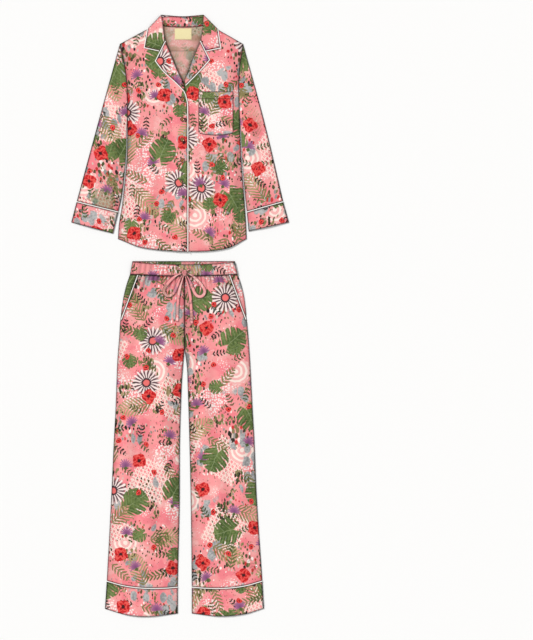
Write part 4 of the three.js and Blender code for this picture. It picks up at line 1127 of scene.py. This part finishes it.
def left_front(x, down):
    return shirt_front(x, down) + LAYER * ease(x, LAP_START - 16, LAP_START - 3)


def on_front(side):
    front = left_front if side == "left" else shirt_front
    return lambda x, down: front(x, down) + LAYER + neck_lift(x, down, 2) - neck_lift(x, down, 1)


def drop(base):
    return lambda x, down, u, v: base(x, down)


panel("front_left_cloth",
      {"top": shoulder_left, "bottom": hem_line(-192, 16.5), "left": by_down(SHIRT_SIDE, "left", FRONT_DOWNS),
       "right": by_down(FRONT_EDGE, "left", EDGE_DOWNS)},
      drop(left_front), SHIRT_AT, step=(4, 5), offset=(0.3, 1.5), nodes=["front_left"],
      shade={"left": (0.34, 13), "bottom": (0.12, 10)})
panel("front_right_cloth",
      {"top": shoulder_right, "bottom": hem_line(LAP_START, 194),
       "left": by_down(FRONT_EDGE, "right", EDGE_DOWNS),
       "right": by_down(SHIRT_SIDE, "right", FRONT_DOWNS)},
      drop(shirt_front), SHIRT_AT, step=(4, 5), offset=(1.36, 0.9), nodes=["front_right"],
      shade={"right": (0.34, 13), "left": (0.3, 9), "bottom": (0.12, 10)})

# Collar and lapels
# A notched collar, its fall under the neck and a leaf on each front, with the fronts' facings turned back below
# it as lapels. A plain woven label is sewn into the neck.
COLLAR = {
    "left": {"top": (-61.5, 0), "shoulder": (-104.7, 44.7), "point": (-114.6, 101), "notch": (-68.7, 111)},
    "right": {"top": (64.5, 0), "shoulder": (109.5, 44.7), "point": (118.2, 102), "notch": (73.5, 111)},
}
GORGE = {"left": (-50.4, 79), "right": (56.4, 79)}
COLLAR_ROLL = {
    "left": [(-61.5, 0), (-57.5, 20), (-56.1, 37.5), (-50.4, 79)],
    "right": [(64.5, 0), (63, 20), (62.1, 37.5), (56.4, 79)],
}
LAPEL_EDGE = {
    "left": [(-81.3, 140), (-57.3, 170.5), (-20.7, 205), (-7, 218.5), (4.4, 230.5)],
    "right": [(85, 136.5), (50.7, 175), (28, 198), (12, 214)],
}
LAPEL_ROLL = {
    "left": [(-50.4, 79), (-30.5, 127), (-17, 160), (2.5, 200), (9.6, 226)],
    "right": [(56.4, 79), (34.5, 127), (22, 160), (9, 193), (8, 203)],
}
ROLL_LIFT = 2
CLEAR = 0.2
LABEL = {"left": -22, "right": 29, "top": 41, "bottom": 75, "thick": 0.6}

fall_edge = line(COLLAR["left"]["shoulder"], COLLAR["right"]["shoulder"])
collar_top = smooth([COLLAR["left"]["top"], (2, 4.5), COLLAR["right"]["top"]])
panel("collar_fall_cloth",
      {"top": collar_top, "bottom": fall_edge, "left": line(COLLAR["left"]["top"], COLLAR["left"]["shoulder"]),
       "right": line(COLLAR["right"]["top"], COLLAR["right"]["shoulder"])},
      lambda x, down, u, v: ON_FLOOR + 0 * x, SHIRT_AT, insets={"bottom": PIPED}, sunk=0.0, offset=(5.1, 0.2),
      nodes=["collar_fall"], thick=lambda x, down: THIN + 1.7 * np.exp(-(down / 4.5) ** 2),
      materials=[cloth, cloth])
panel("collar_stand_cloth",
      {"top": smooth([(-68, 9), (-40, 5), (2, 6.5), (44, 5), (71, 9)]), "bottom": neck_edge,
       "left": line((-68, 9), NECK_SEAM[0]), "right": line((71, 9), NECK_SEAM[-1])},
      lambda x, down, u, v: LAYER + 0 * x, SHIRT_AT, offset=(5.6, 0.8), nodes=["collar_stand"],
      shade={"bottom": (0.45, 7), "left": (0.4, 9), "right": (0.4, 9)}, materials=[cloth, cloth])


def woven(at):
    there = at.out("TexCoord", {}, {}, "Object")
    inputs = {"Vector": there, "Scale": 320.0, "Distortion": 0.4}
    ribs = at.out("TexWave", {"bands_direction": "Y"}, inputs, "Fac")
    colour = over(ribs, sRGB(232, 216, 158), sRGB(244, 233, 184))
    return {"Base Color": colour, "Normal": ribs.relief(0.4, 0.0002)}


label_weave = finished("label", {"Roughness": 0.6}, woven)
label_corner = {(across, up): (LABEL[across], LABEL[up])
                for across in ("left", "right") for up in ("top", "bottom")}
panel("label_cloth",
      {"top": line(label_corner["left", "top"], label_corner["right", "top"]),
       "bottom": line(label_corner["left", "bottom"], label_corner["right", "bottom"]),
       "left": line(label_corner["left", "top"], label_corner["left", "bottom"]),
       "right": line(label_corner["right", "top"], label_corner["right", "bottom"])},
      lambda x, down, u, v: neck_lift(x, down, 0) + LAYER + CLEAR, SHIRT_AT, thick=LABEL["thick"], sunk=0.15,
      nodes=["label"], materials=[label_weave, label_weave])

for side, away in SIDES:
    corner = COLLAR[side]
    leaf_base, lapel_base = on_front(side), on_front(side)
    panel(f"collar_leaf_{side}_cloth",
          {"top": line(corner["shoulder"], corner["top"]),
           "bottom": one_after(line(corner["point"], corner["notch"]), 3,
                               line(corner["notch"], GORGE[side]), 3),
           "left": line(corner["shoulder"], corner["point"]), "right": smooth(COLLAR_ROLL[side])},
          lambda x, down, u, v: leaf_base(x, down) + ROLL_LIFT * ease(u, 0.45, 1) * ease(v, 0, 0.3),
          SHIRT_AT, step=(4, 4),
          insets={"left": PIPED, "bottom": lambda s: np.where(s < 0.5, PIPED, GAP / 2)},
          shade={"right": (0.2, 5), "bottom": (0.2, 4)}, angle=away * 0.3, offset=(6.3, 0.5 + 0.4 * away),
          nodes=[f"collar_leaf_{side}"], materials=[cloth, cloth])
    panel(f"lapel_{side}_cloth",
          {"top": line(LAPEL_EDGE[side][0], GORGE[side]),
           "bottom": line(LAPEL_EDGE[side][-1], LAPEL_ROLL[side][-1]),
           "left": smooth(LAPEL_EDGE[side]), "right": smooth(LAPEL_ROLL[side])},
          lambda x, down, u, v: (lapel_base(x, down) + CLEAR
                                 + ROLL_LIFT * ease(u, 0.4, 1) * (1 - ease(down, 120, 215))),
          SHIRT_AT, step=(4, 4), insets={"left": PIPED, "top": PIPED}, shade={"right": (0.15, 5)},
          angle=away * -0.4, offset=(7.4, 0.5 + 0.3 * away), nodes=[f"lapel_{side}"], materials=[cloth, cloth])

# Button loop
# A small loop of the cloth turned to a cord, sewn under the right lapel's edge with its bend showing below it.
LOOP_WIDTH = 3
LOOP_THICK = 1.1
loop_route = [(52, 166), (59.6, 172.6), (70.2, 172.4), (75.4, 166.4), (74.6, 157.8), (66.5, 150)]


def loop_base(x, down):
    """It lies on the front, under the lapel's edge."""
    return shirt_front(x, down) + THIN


loop_path = path_of(loop_route, 1.0)
button_loop = roll("button_loop_cord", loop_path, LOOP_WIDTH, LOOP_THICK, loop_base, SHIRT_AT,
                   prints=(2.9, 1.9))
button_loop.data.materials.append(tie_cloth)
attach(button_loop, "root")
free_cord(button_loop, centre_line(loop_path, LOOP_THICK, loop_base, SHIRT_AT), LOOP_WIDTH, "object")

# Chest pocket
# A patch pocket on the right front with rounded lower corners, and a hem turned in along its mouth.
POCKET = {"left": 49.5, "right": 154, "top": 230.5, "side": 352, "bottom": 362.5, "corner": 9, "hem": 22}
pocket_base = on_front("right")
corner_down = POCKET["side"] + POCKET["corner"] * 0.7
pocket_foot = smooth([(POCKET["left"], POCKET["side"]), (POCKET["left"] + POCKET["corner"], corner_down),
                      ((POCKET["left"] + POCKET["right"]) / 2, POCKET["bottom"]),
                      (POCKET["right"] - POCKET["corner"], corner_down), (POCKET["right"], POCKET["side"])])


def pocket_thick(x, down):
    """The hem's second layer makes the pocket thicker down to its stitch line, which is drawn in."""
    below = down - POCKET["top"] - POCKET["hem"]
    return THIN + 0.35 * (1 - ease(below, -0.5, 1)) - 0.35 * np.exp(-(below / 1.1) ** 2)


def pocket_hem_shadow(x, down, u, v):
    """The painted shadow along the hem's stitched edge."""
    return 0.75 * np.exp(-(((down - POCKET["top"] - POCKET["hem"]) / 1.3) ** 2))


panel("chest_pocket_cloth",
      {"top": line((POCKET["left"], POCKET["top"]), (POCKET["right"], POCKET["top"])), "bottom": pocket_foot,
       "left": line((POCKET["left"], POCKET["top"]), (POCKET["left"], POCKET["side"])),
       "right": line((POCKET["right"], POCKET["top"]), (POCKET["right"], POCKET["side"]))},
      lambda x, down, u, v: pocket_base(x, down) + CLEAR, SHIRT_AT, step=(4, 1.3), thick=pocket_thick,
      offset=(8.13, 1.31), nodes=["chest_pocket"], dark=pocket_hem_shadow)

# Sleeves and cuffs
# Each sleeve is one piece of printed lawn folded along its overarm, and each cuff one piece, cut double. Their
# two layers lie on each other and turn round the fold, so each is made as a single shell.
DOUBLE = 1.8
FOLD = 1.25
SLEEVE = {
    "left": {"fold": [(-187, 88), (-252, 325), (-316, 561)], "cuff": (-332, 623), "inner": (-206.7, 656.7)},
    "right": {"fold": [(184, 88), (248, 325), (303.5, 561)], "cuff": (320.7, 623), "inner": (199.8, 650)},
}
SLEEVE_INNER = {
    "down": [307, 345, 403, 478, 545, 592],
    "left": [-164.5, -166.5, -167, -172.5, -180.5, -190.8],
    "right": [173.5, 176.5, 179, 183.5, 189.2, 194.5],
}


def folded(name, edges, base, where, step, thick, nodes, insets=None, shade=None, angle=0.0, offset=(0, 0)):
    """One piece of cloth folded at its left edge: a front layer, the turn round the fold, and a back layer."""
    plan, u, v, reach = lay_out(edges, step, {"left": FOLD, **(insets or {})})
    x, down = plan[..., 0], plan[..., 1]
    rim = np.minimum.reduce([reach["right"], reach["top"], reach["bottom"]])
    low = base(x, down, u, v) - SUNK * np.exp(-rim / SINK_WIDE)
    high = low + thick * (1 - TURNED * np.exp(-rim / TURN_WIDE))
    floor_z = ON_FLOOR + pressed(x, down)
    turn = np.linspace(np.pi / 2, -np.pi / 2, 7)[1:-1]
    outward = plan[:, 0] - plan[:, 1]
    outward /= np.hypot(outward[:, 0], outward[:, 1])[:, None]
    parts = {"outer": [], "inner": []}
    tall = {"outer": (high[:, 0], floor_z[:, 0]), "inner": (low[:, 0], floor_z[:, 0] + THIN)}
    for bearing in turn:
        for key, out in (("outer", FOLD), ("inner", 0.35)):
            top, bottom = tall[key]
            spot = plan[:, 0] + outward * out * math.cos(bearing)
            up = (top + bottom) / 2 + (top - bottom) / 2 * math.sin(bearing)
            parts[key].append(np.column_stack([spot, up]))
    flip = slice(None, None, -1)
    layers = {"outer": (high, floor_z), "inner": (low, floor_z + THIN)}
    grids = []
    for key in ("outer", "inner"):
        front_z, back_z = layers[key]
        front = np.stack([x, down, front_z], -1)[:, flip]
        back = np.stack([x, down, back_z], -1)
        grids.append(np.concatenate([front, np.stack(parts[key], 1), back], 1))
    rows, columns = grids[0].shape[:2]
    index = np.arange(rows * columns).reshape(rows, columns)
    faces, wrong = join_faces(index, index + rows * columns)
    run = np.gradient(plan[:, 0], axis=0)
    run = (run / np.hypot(run[:, 0], run[:, 1])[:, None])[:, None]
    across = plan - plan[:, :1]
    mirrored = plan[:, :1] + 2 * (across * run).sum(-1, keepdims=True) * run - across
    bend = plan[:, None, 0] + outward[:, None, :] * (0.4 * np.arange(1, len(turn) + 1))[None, :, None]
    flat = np.concatenate([plan[:, flip], bend, mirrored + outward[:, None, :] * 2.4], 1)
    # Painted shade along the edges, carried round the fold onto the back layer
    painted_shade = edge_shadows(reach, shade or {})
    painted_shade = np.concatenate([painted_shade[:, flip], np.repeat(painted_shade[:, :1], len(turn), 1), painted_shade], 1)
    prints = grain(flat, angle, offset).reshape(-1, 2)
    points = place(np.concatenate([grid.reshape(-1, 3) for grid in grids]), where)
    made = solid_mesh(name, points, faces, np.tile(prints, (2, 1)), np.tile(painted_shade.ravel(), 2), wrong)
    dress(made, nodes, inside)
    size, area = laid_flat(flat, prints)


def arched(u, rise):
    return rise * np.sin(np.pi * np.clip(u, 0, 1)) ** 1.5


for side, away in SIDES:
    shape = SLEEVE[side]
    wrist = tuple(float(SLEEVE_INNER[key][-1]) for key in (side, "down"))
    fold_end = shape["fold"][-1]
    cuff_seam = line(fold_end, wrist)
    lean = away * 0.26

    def sleeve_base(x, down, u, v):
        folds = ridges(SHIRT_FOLDS, x, down) + CREASED * ridges(SHIRT_CREASES, x, down) + rumple(x, down)
        return LAYER + (arched(u, LOFT["sleeve"]) + folds * np.sin(np.pi * np.clip(u, 0, 1))) * ease(v, 0, 0.3)

    folded(f"sleeve_{side}_cloth",
           {"top": by_down(SHIRT_SIDE, side, FRONT_DOWNS[:7]), "bottom": cuff_seam,
            "left": smooth(shape["fold"]),
            "right": by_down(SLEEVE_INNER, side, np.linspace(307, 592, 11))},
           sleeve_base, SHIRT_AT, (4, 5), THIN, [f"sleeve_{side}_front", f"sleeve_{side}_back"],
           insets={"bottom": PIPED_SEAM}, shade={"top": (0.36, 12), "right": (0.36, 14)}, angle=lean,
           offset=(9.2 + away, 0.7))
    folded(f"cuff_{side}_cloth",
           {"top": cuff_seam, "bottom": line(shape["cuff"], shape["inner"]),
            "left": line(fold_end, shape["cuff"]),
            "right": line(wrist, shape["inner"])},
           lambda x, down, u, v: LAYER + arched(u, LOFT["sleeve"]), SHIRT_AT, (5, 4), DOUBLE - 0.3,
           [f"cuff_{side}_front", f"cuff_{side}_back"], insets={"top": PIPED_SEAM}, shade={"right": (0.2, 10)},
           angle=lean, offset=(11.9 + away, 1.1))

# Hem bands and pocket facings
# The trousers' hem bands are cut double and folded at the side. The facings show inside the slant pockets.
FACING_END = 160
for side, away in SIDES:
    seam, hem = smooth(HEM_SEAM[side]), smooth(TROUSER_HEM[side])
    folded(f"hem_band_{side}_cloth",
           {"top": seam, "bottom": hem, "left": line(seam(0.0), hem(0.0)), "right": line(seam(1.0), hem(1.0))},
           lambda x, down, u, v: LAYER + arched(u, LOFT["leg"]), TROUSER_AT, (6, 5), DOUBLE - 0.3,
           [f"hem_band_{side}_front", f"hem_band_{side}_back"], insets={"top": PIPED_SEAM},
           shade={"right": (0.3, 14)}, offset=(13.7 + away, 0.4))
    (x0, d0), (x1, d1) = SLANT[side]
    slant_end = (x0 + (x1 - x0) * (FACING_END - d0) / (d1 - d0), FACING_END)
    side_end = (float(column(TROUSER_SIDE, side)(FACING_END)), FACING_END)
    panel(f"pocket_facing_{side}_cloth",
          {"top": waist(TROUSER_SIDE[side][0], x0), "bottom": line(side_end, slant_end),
           "left": by_down(TROUSER_SIDE, side, [40, 74, 113, 140, FACING_END]),
           "right": line((x0, d0), slant_end)},
          lambda x, down, u, v: LAYER + leg_loft(x, down), TROUSER_AT, step=(4, 4),
          offset=(15.6, 0.7 + away * 0.3),
          shade={"right": (0.55, 9)}, nodes=[f"pocket_facing_{side}"])

# Waistband
# One band of the cloth over wide elastic, folded at the top and drawn into gathers all round.
BAND_END = {"left": -155.7, "right": 151.2, "down": 10, "rise": 8}


def band_top_edge(s):
    x = BAND_END["left"] + (BAND_END["right"] - BAND_END["left"]) * np.asarray(s, float)
    return np.stack([x, BAND_END["down"] - BAND_END["rise"] * (x / BAND_END["left"]) ** 2], -1)


def band_dark(x, down, u, v):
    """The shadow between the band's gathers, and its seam at the middle."""
    hollow = 0.3 * (1 - gather_wave(u, GATHER["band"])) ** 3
    return hollow + (0.6 - hollow) * np.exp(-(((x - 0.5) / 1.1) ** 2))


band_seam = waist(TROUSER_SIDE["left"][0], TROUSER_SIDE["right"][0])
panel("waistband_front_cloth",
      {"top": band_top_edge, "bottom": band_seam, "left": line(band_top_edge(0.0), band_seam(0.0)),
       "right": line(band_top_edge(1.0), band_seam(1.0))},
      lambda x, down, u, v: BAND_BASE + GATHER["band_rise"] * gather_wave(u, GATHER["band"]), TROUSER_AT,
      step=(1.7, 3), thick=BAND, offset=(16.8, 0.3), nodes=["waistband_front"], dark=band_dark,
      shade={"bottom": (0.2, 4), "top": (0.1, 4)}, materials=[cloth, cloth])
# The back band's inside, seen above the front's edge, is evenly darkened with painted shade
panel("waistband_back_cloth",
      {"top": line((BAND_END["left"], 0), (BAND_END["right"], 0)), "bottom": band_seam,
       "left": line((BAND_END["left"], 0), band_seam(0.0)),
       "right": line((BAND_END["right"], 0), band_seam(1.0))},
      lambda x, down, u, v: ON_FLOOR + 0 * x, TROUSER_AT, step=(1.7, 5), sunk=0.0,
      thick=lambda x, down: BAND + GATHER["band_rise"] * gather_wave((x + 159) / 318, GATHER["band"]) * 0.9,
      offset=(17.7, 0.8), nodes=["waistband_back"], dark=lambda x, down, u, v: 0.22 + 0 * x,
      materials=[cloth, cloth])

# Piping
# White satin piping, a cord in a bias strip: round the collar and lapels and down the left front, at the cuffs,
# the hem bands and the pocket mouths. It lies on a panel's edge or stands up in a seam.
PIPING = {"width": 2.8, "thick": 1.8, "proud": 2.2}


def twilled(at):
    twill = at.out("TexWave", {"bands_direction": "DIAGONAL"}, {"Vector": at, "Scale": 260.0}, "Fac")
    # Painted shade: the piping's sides are darkened by its shade attribute
    colour = over(shade_of(at), sRGB(92, 76, 74), sRGB(250, 246, 240))
    return {"Base Color": colour, "Normal": twill.relief(0.25, 0.0001)}


satin = finished("piping", {"Roughness": 0.5, "Sheen Weight": 0.15}, twilled)


def along(corners, step=2.2):
    """An even path through corners."""
    p = np.array(corners, float)
    length = np.concatenate([[0], np.cumsum(np.hypot(*np.diff(p, axis=0).T))])
    s = np.linspace(0, length[-1], max(3, round(length[-1] / step)))
    return np.column_stack([np.interp(s, length, p[:, 0]), np.interp(s, length, p[:, 1])])


def piping(name, path, base, where, offset, thick):
    made = roll(name, path, PIPING["width"], thick, base, where, offset=offset, sides=10)
    dress(made, [name.removesuffix("_cord")], [satin])


def flat_base(x, down):
    return ON_FLOOR + 0 * x


middle = (GAP / 2 + PIPED - GAP) / 2
piping("piping_collar_back_cord", along([fall_edge(0.0), fall_edge(1.0)]), flat_base, SHIRT_AT, middle, CLOTH)
for side, away in SIDES:
    corner, front = COLLAR[side], on_front(side)
    piping(f"piping_collar_{side}_cord", along([corner["shoulder"], corner["point"], corner["notch"]]), front,
           SHIRT_AT, away * middle, PIPING["thick"])
    lapel_path = [GORGE[side], *smooth(LAPEL_EDGE[side])(np.linspace(0, 1, 40))]
    if side == "left":
        lapel_path += [(10.3, 243), (14.6, 262)]
        lapel_path += [(float(column(FRONT_EDGE, "left")(d)), d) for d in np.linspace(275, 711, 60)]
    piping(f"piping_lapel_{side}_cord", along(lapel_path), lambda x, down: front(x, down) + CLEAR, SHIRT_AT,
           away * middle, PIPING["thick"])
    fold_end = SLEEVE[side]["fold"][-1]
    wrist = tuple(float(SLEEVE_INNER[key][-1]) for key in (side, "down"))

    def cuff_height(x, down):
        return LAYER + arched((down - fold_end[1]) / (wrist[1] - fold_end[1]), LOFT["sleeve"])

    hem_path = smooth(HEM_SEAM[side])(np.linspace(0, 1, 110))

    def hem_height(x, down):
        ends = hem_path[0, 0], hem_path[-1, 0]
        return LAYER + arched((x - ends[0]) / (ends[1] - ends[0]), LOFT["leg"])

    for layer in ("front", "back"):
        shown = layer == "front"
        thick = PIPING["proud"] if shown else CLOTH
        piping(f"piping_cuff_{side}_{layer}_cord", along([fold_end, wrist]),
               cuff_height if shown else flat_base, SHIRT_AT, 0.0, thick)
        piping(f"piping_hem_{side}_{layer}_cord", hem_path, hem_height if shown else flat_base, TROUSER_AT, 0.0,
               thick)
    piping(f"piping_pocket_{side}_cord", along(slant_edge(side)(np.linspace(0, 1, 30))),
           lambda x, down: LAYER + leg_loft(x, down), TROUSER_AT, away * middle, PIPING["proud"])

# Buttons
# Five wooden buttons down the left front, turned with a raised rim and a dished middle with four holes, sewn on
# with brown thread.
BUTTON = {"radius": 6.5, "thick": 2.4, "x": 1.5}
BUTTONS_DOWN = [254.4, 314.4, 375.6, 437.4, 579.6]
BUTTON_PROFILE = [(0, 0.1), (0.86, 0.1), (0.97, 0.28), (1, 0.55), (0.96, 0.85), (0.87, 1), (0.77, 0.96),
                  (0.68, 0.8), (0.6, 0.7), (0.3, 0.66), (0, 0.65)]



def wooden(at):
    """Wood grain over the set, with painted shade as a dark rim and as four dark holes, placed from each
    button's middle.
    """
    there = at.out("TexCoord", {}, {}, "Object")
    inputs = {"Vector": there, "Scale": 160.0, "Distortion": 6.0, "Detail": 3.0, "Detail Scale": 1.4}
    growth = at.out("TexWave", {"bands_direction": "X"}, inputs, "Fac")
    colour = over(growth, sRGB(140, 82, 38), sRGB(178, 114, 58))
    # Painted shade: the rim is darkened all round, and the holes, which are not cut, are dark dots
    colour = over((at.vector("LENGTH", at) - 0.0046).brush(0.0008) * 0.92, colour, sRGB(42, 22, 14))
    hole = at.vector("SUBTRACT", at.vector("ABSOLUTE", at), (0.0013, 0.0013, 0))
    return {"Base Color": over((0.0006 - hole.vector("LENGTH", hole)).brush(0.0002), colour, sRGB(30, 18, 12))}


wood = finished("button", {"Roughness": 0.35, "Coat Weight": 0.3}, wooden)
button_thread = finished("button thread", {"Base Color": sRGB(122, 66, 34), "Roughness": 0.6})


def turned(profile, sides):
    """A closed turned form from its profile of radius and height, from the middle of its foot to its top."""
    around = np.arange(sides) * 2 * math.pi / sides
    points = [(r * math.cos(a), r * math.sin(a), z) for r, z in profile[1:-1] for a in around]
    return np.array(points + [(0, 0, profile[0][1]), (0, 0, profile[-1][1])]), ringed(len(profile) - 2, sides)


profile = [(r * BUTTON["radius"], z * BUTTON["thick"]) for r, z in BUTTON_PROFILE]
button_points, button_faces = turned(profile, 40)
for number, down in enumerate(BUTTONS_DOWN, 1):
    seat = float(left_front(np.array(BUTTON["x"]), np.array(down))) + LAYER
    points = np.column_stack([button_points[:, 0] + BUTTON["x"], down - button_points[:, 1],
                              button_points[:, 2] + seat])
    button = solid_mesh(f"button_{number}_turned", place(points, SHIRT_AT), button_faces,
                        button_points[:, :2] * MM)
    dress(button, [f"button_{number}"], [wood])
    for turn_x in (1, -1):
        reach_x = np.linspace(-1.5, 1.5, 7)
        thread_path = np.column_stack([BUTTON["x"] + reach_x * turn_x, down + reach_x])
        lift = seat + BUTTON["thick"] * 0.52 + (0.3 if turn_x > 0 else 0)
        thread = roll(f"button_{number}_thread_{'a' if turn_x > 0 else 'b'}", thread_path, 0.7, 0.7,
                      lambda x, d: lift + 0 * x, SHIRT_AT, sides=8)
        thread.data.materials.append(button_thread)
        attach(thread, "root")

# Stitching
# Rows of lockstitch in matching thread: along the shirt's hem and front edge, the pocket's hem and sides, the
# label, the collar and lapels beside their piping, and above the hem bands.
stitch_thread = finished("stitch thread", {"Base Color": sRGB(206, 128, 128), "Roughness": 0.6})

sewing = bpy.data.node_groups.new("sewing", "GeometryNodeTree")
sewing.interface.new_socket("Geometry", in_out="INPUT", socket_type="NodeSocketGeometry")
pitch_socket = sewing.interface.new_socket("Pitch", in_out="INPUT", socket_type="NodeSocketFloat")
size_socket = sewing.interface.new_socket("Stitch", in_out="INPUT", socket_type="NodeSocketVector")
sewing.interface.new_socket("Geometry", in_out="OUTPUT", socket_type="NodeSocketGeometry")


def sewing_node(kind, **settings):
    made = sewing.nodes.new(kind)
    for key, value in settings.items():
        setattr(made, key, value)
    return made


def sew(start, socket, end, target):
    sewing.links.new(start.outputs[socket], end.inputs[target])


sewing_in, sewing_out = sewing_node("NodeGroupInput"), sewing_node("NodeGroupOutput")
to_curve = sewing_node("GeometryNodeMeshToCurve")
evenly = sewing_node("GeometryNodeResampleCurve", mode="LENGTH")
single = sewing_node("GeometryNodeMeshIcoSphere")
single.inputs["Radius"].default_value = 0.5
single.inputs["Subdivisions"].default_value = 1
heading = sewing_node("GeometryNodeInputTangent")
aligned = sewing_node("FunctionNodeAlignRotationToVector", axis="X")
instanced = sewing_node("GeometryNodeInstanceOnPoints")
realized = sewing_node("GeometryNodeRealizeInstances")
coloured = sewing_node("GeometryNodeSetMaterial")
coloured.inputs["Material"].default_value = stitch_thread
sew(sewing_in, "Geometry", to_curve, "Mesh")
sew(to_curve, "Curve", evenly, "Curve")
sew(sewing_in, "Pitch", evenly, "Length")
sew(evenly, "Curve", instanced, "Points")
sew(single, "Mesh", instanced, "Instance")
sew(heading, "Tangent", aligned, "Vector")
sew(aligned, "Rotation", instanced, "Rotation")
sew(sewing_in, "Stitch", instanced, "Scale")
sew(instanced, "Instances", realized, "Geometry")
sew(realized, "Geometry", coloured, "Geometry")
sew(coloured, "Geometry", sewing_out, "Geometry")


def stitched(name, path, top, where, pitch=3.0):
    """One row of stitches along a path, half sunk in the cloth whose top is given."""
    path = np.array(path, float)
    points = place(np.column_stack([path, top(path[:, 0], path[:, 1])]), where)
    mesh = bpy.data.meshes.new(name + "_row")
    mesh.from_pydata(points.tolist(), [(i, i + 1) for i in range(len(points) - 1)], [])
    row = bpy.data.objects.new(name + "_row", mesh)
    bpy.context.collection.objects.link(row)
    modifier = row.modifiers.new("sewing", "NODES")
    modifier.node_group = sewing
    modifier[pitch_socket.identifier] = pitch * MM
    modifier[size_socket.identifier] = (pitch * 0.74 * MM, 0.55 * MM, 0.45 * MM)
    evaluated = row.evaluated_get(bpy.context.evaluated_depsgraph_get())
    made = bpy.data.objects.new(name, bpy.data.meshes.new_from_object(evaluated))
    bpy.context.collection.objects.link(made)
    bpy.data.objects.remove(row)
    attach(made, "root")


def above(base, thick=THIN):
    return lambda x, down: base(x, down) + thick + 0.05


def inset_path(path, distance):
    return beside(along(path, 3.0), distance)


hem_left = hem_line(-188, 11)(np.linspace(0, 1, 90)) - (0, 9)
hem_right = hem_line(-8, 190)(np.linspace(0, 1, 90)) - (0, 9)
stitched("stitch_hem_left", hem_left, above(left_front), SHIRT_AT)
stitched("stitch_hem_right", hem_right, above(shirt_front), SHIRT_AT)
placket = [(float(column(FRONT_EDGE, "left")(d)) - 5.2, d) for d in np.linspace(268, 708, 120)]
stitched("stitch_front_edge", placket, above(left_front), SHIRT_AT)
mouth = POCKET["top"] + POCKET["hem"]
stitched("stitch_pocket_hem", along([(POCKET["left"] + 1.5, mouth), (POCKET["right"] - 1.5, mouth)], 3),
         above(pocket_base, THIN - 0.05), SHIRT_AT)
pocket_round = [(POCKET["left"], POCKET["top"] + 2), *pocket_foot(np.linspace(0, 1, 50)),
                (POCKET["right"], POCKET["top"] + 2)]
stitched("stitch_pocket_round", inset_path(pocket_round, 2.2), above(pocket_base), SHIRT_AT)
label_edge = [(LABEL["left"] + 1.6, LABEL["top"] + 1.6), (LABEL["right"] - 1.6, LABEL["top"] + 1.6),
              (LABEL["right"] - 1.6, LABEL["bottom"] - 1.6), (LABEL["left"] + 1.6, LABEL["bottom"] - 1.6),
              (LABEL["left"] + 1.6, LABEL["top"] + 1.6)]
stitched("stitch_label", along(label_edge, 3), lambda x, down: neck_lift(x, down, 0) + LAYER + CLEAR + 0.62,
         SHIRT_AT, pitch=2.2)
for side, away in SIDES:
    corner, front = COLLAR[side], on_front(side)
    leaf_edge = [corner["shoulder"], corner["point"], corner["notch"]]
    stitched(f"stitch_collar_{side}", inset_path(leaf_edge, away * 5.2), above(front), SHIRT_AT)
    lapel_inside = inset_path(smooth(LAPEL_EDGE[side])(np.linspace(0.02, 0.8, 60)), away * 5.2)
    stitched(f"stitch_lapel_{side}", lapel_inside, above(lambda x, down: front(x, down) + CLEAR), SHIRT_AT)
    seam_path = beside(smooth(HEM_SEAM[side])(np.linspace(0.02, 0.98, 120)), away * 4.4)
    stitched(f"stitch_hem_band_{side}", seam_path,
             lambda x, down: LAYER + leg_loft(x, down) + THIN - 0.02, TROUSER_AT)
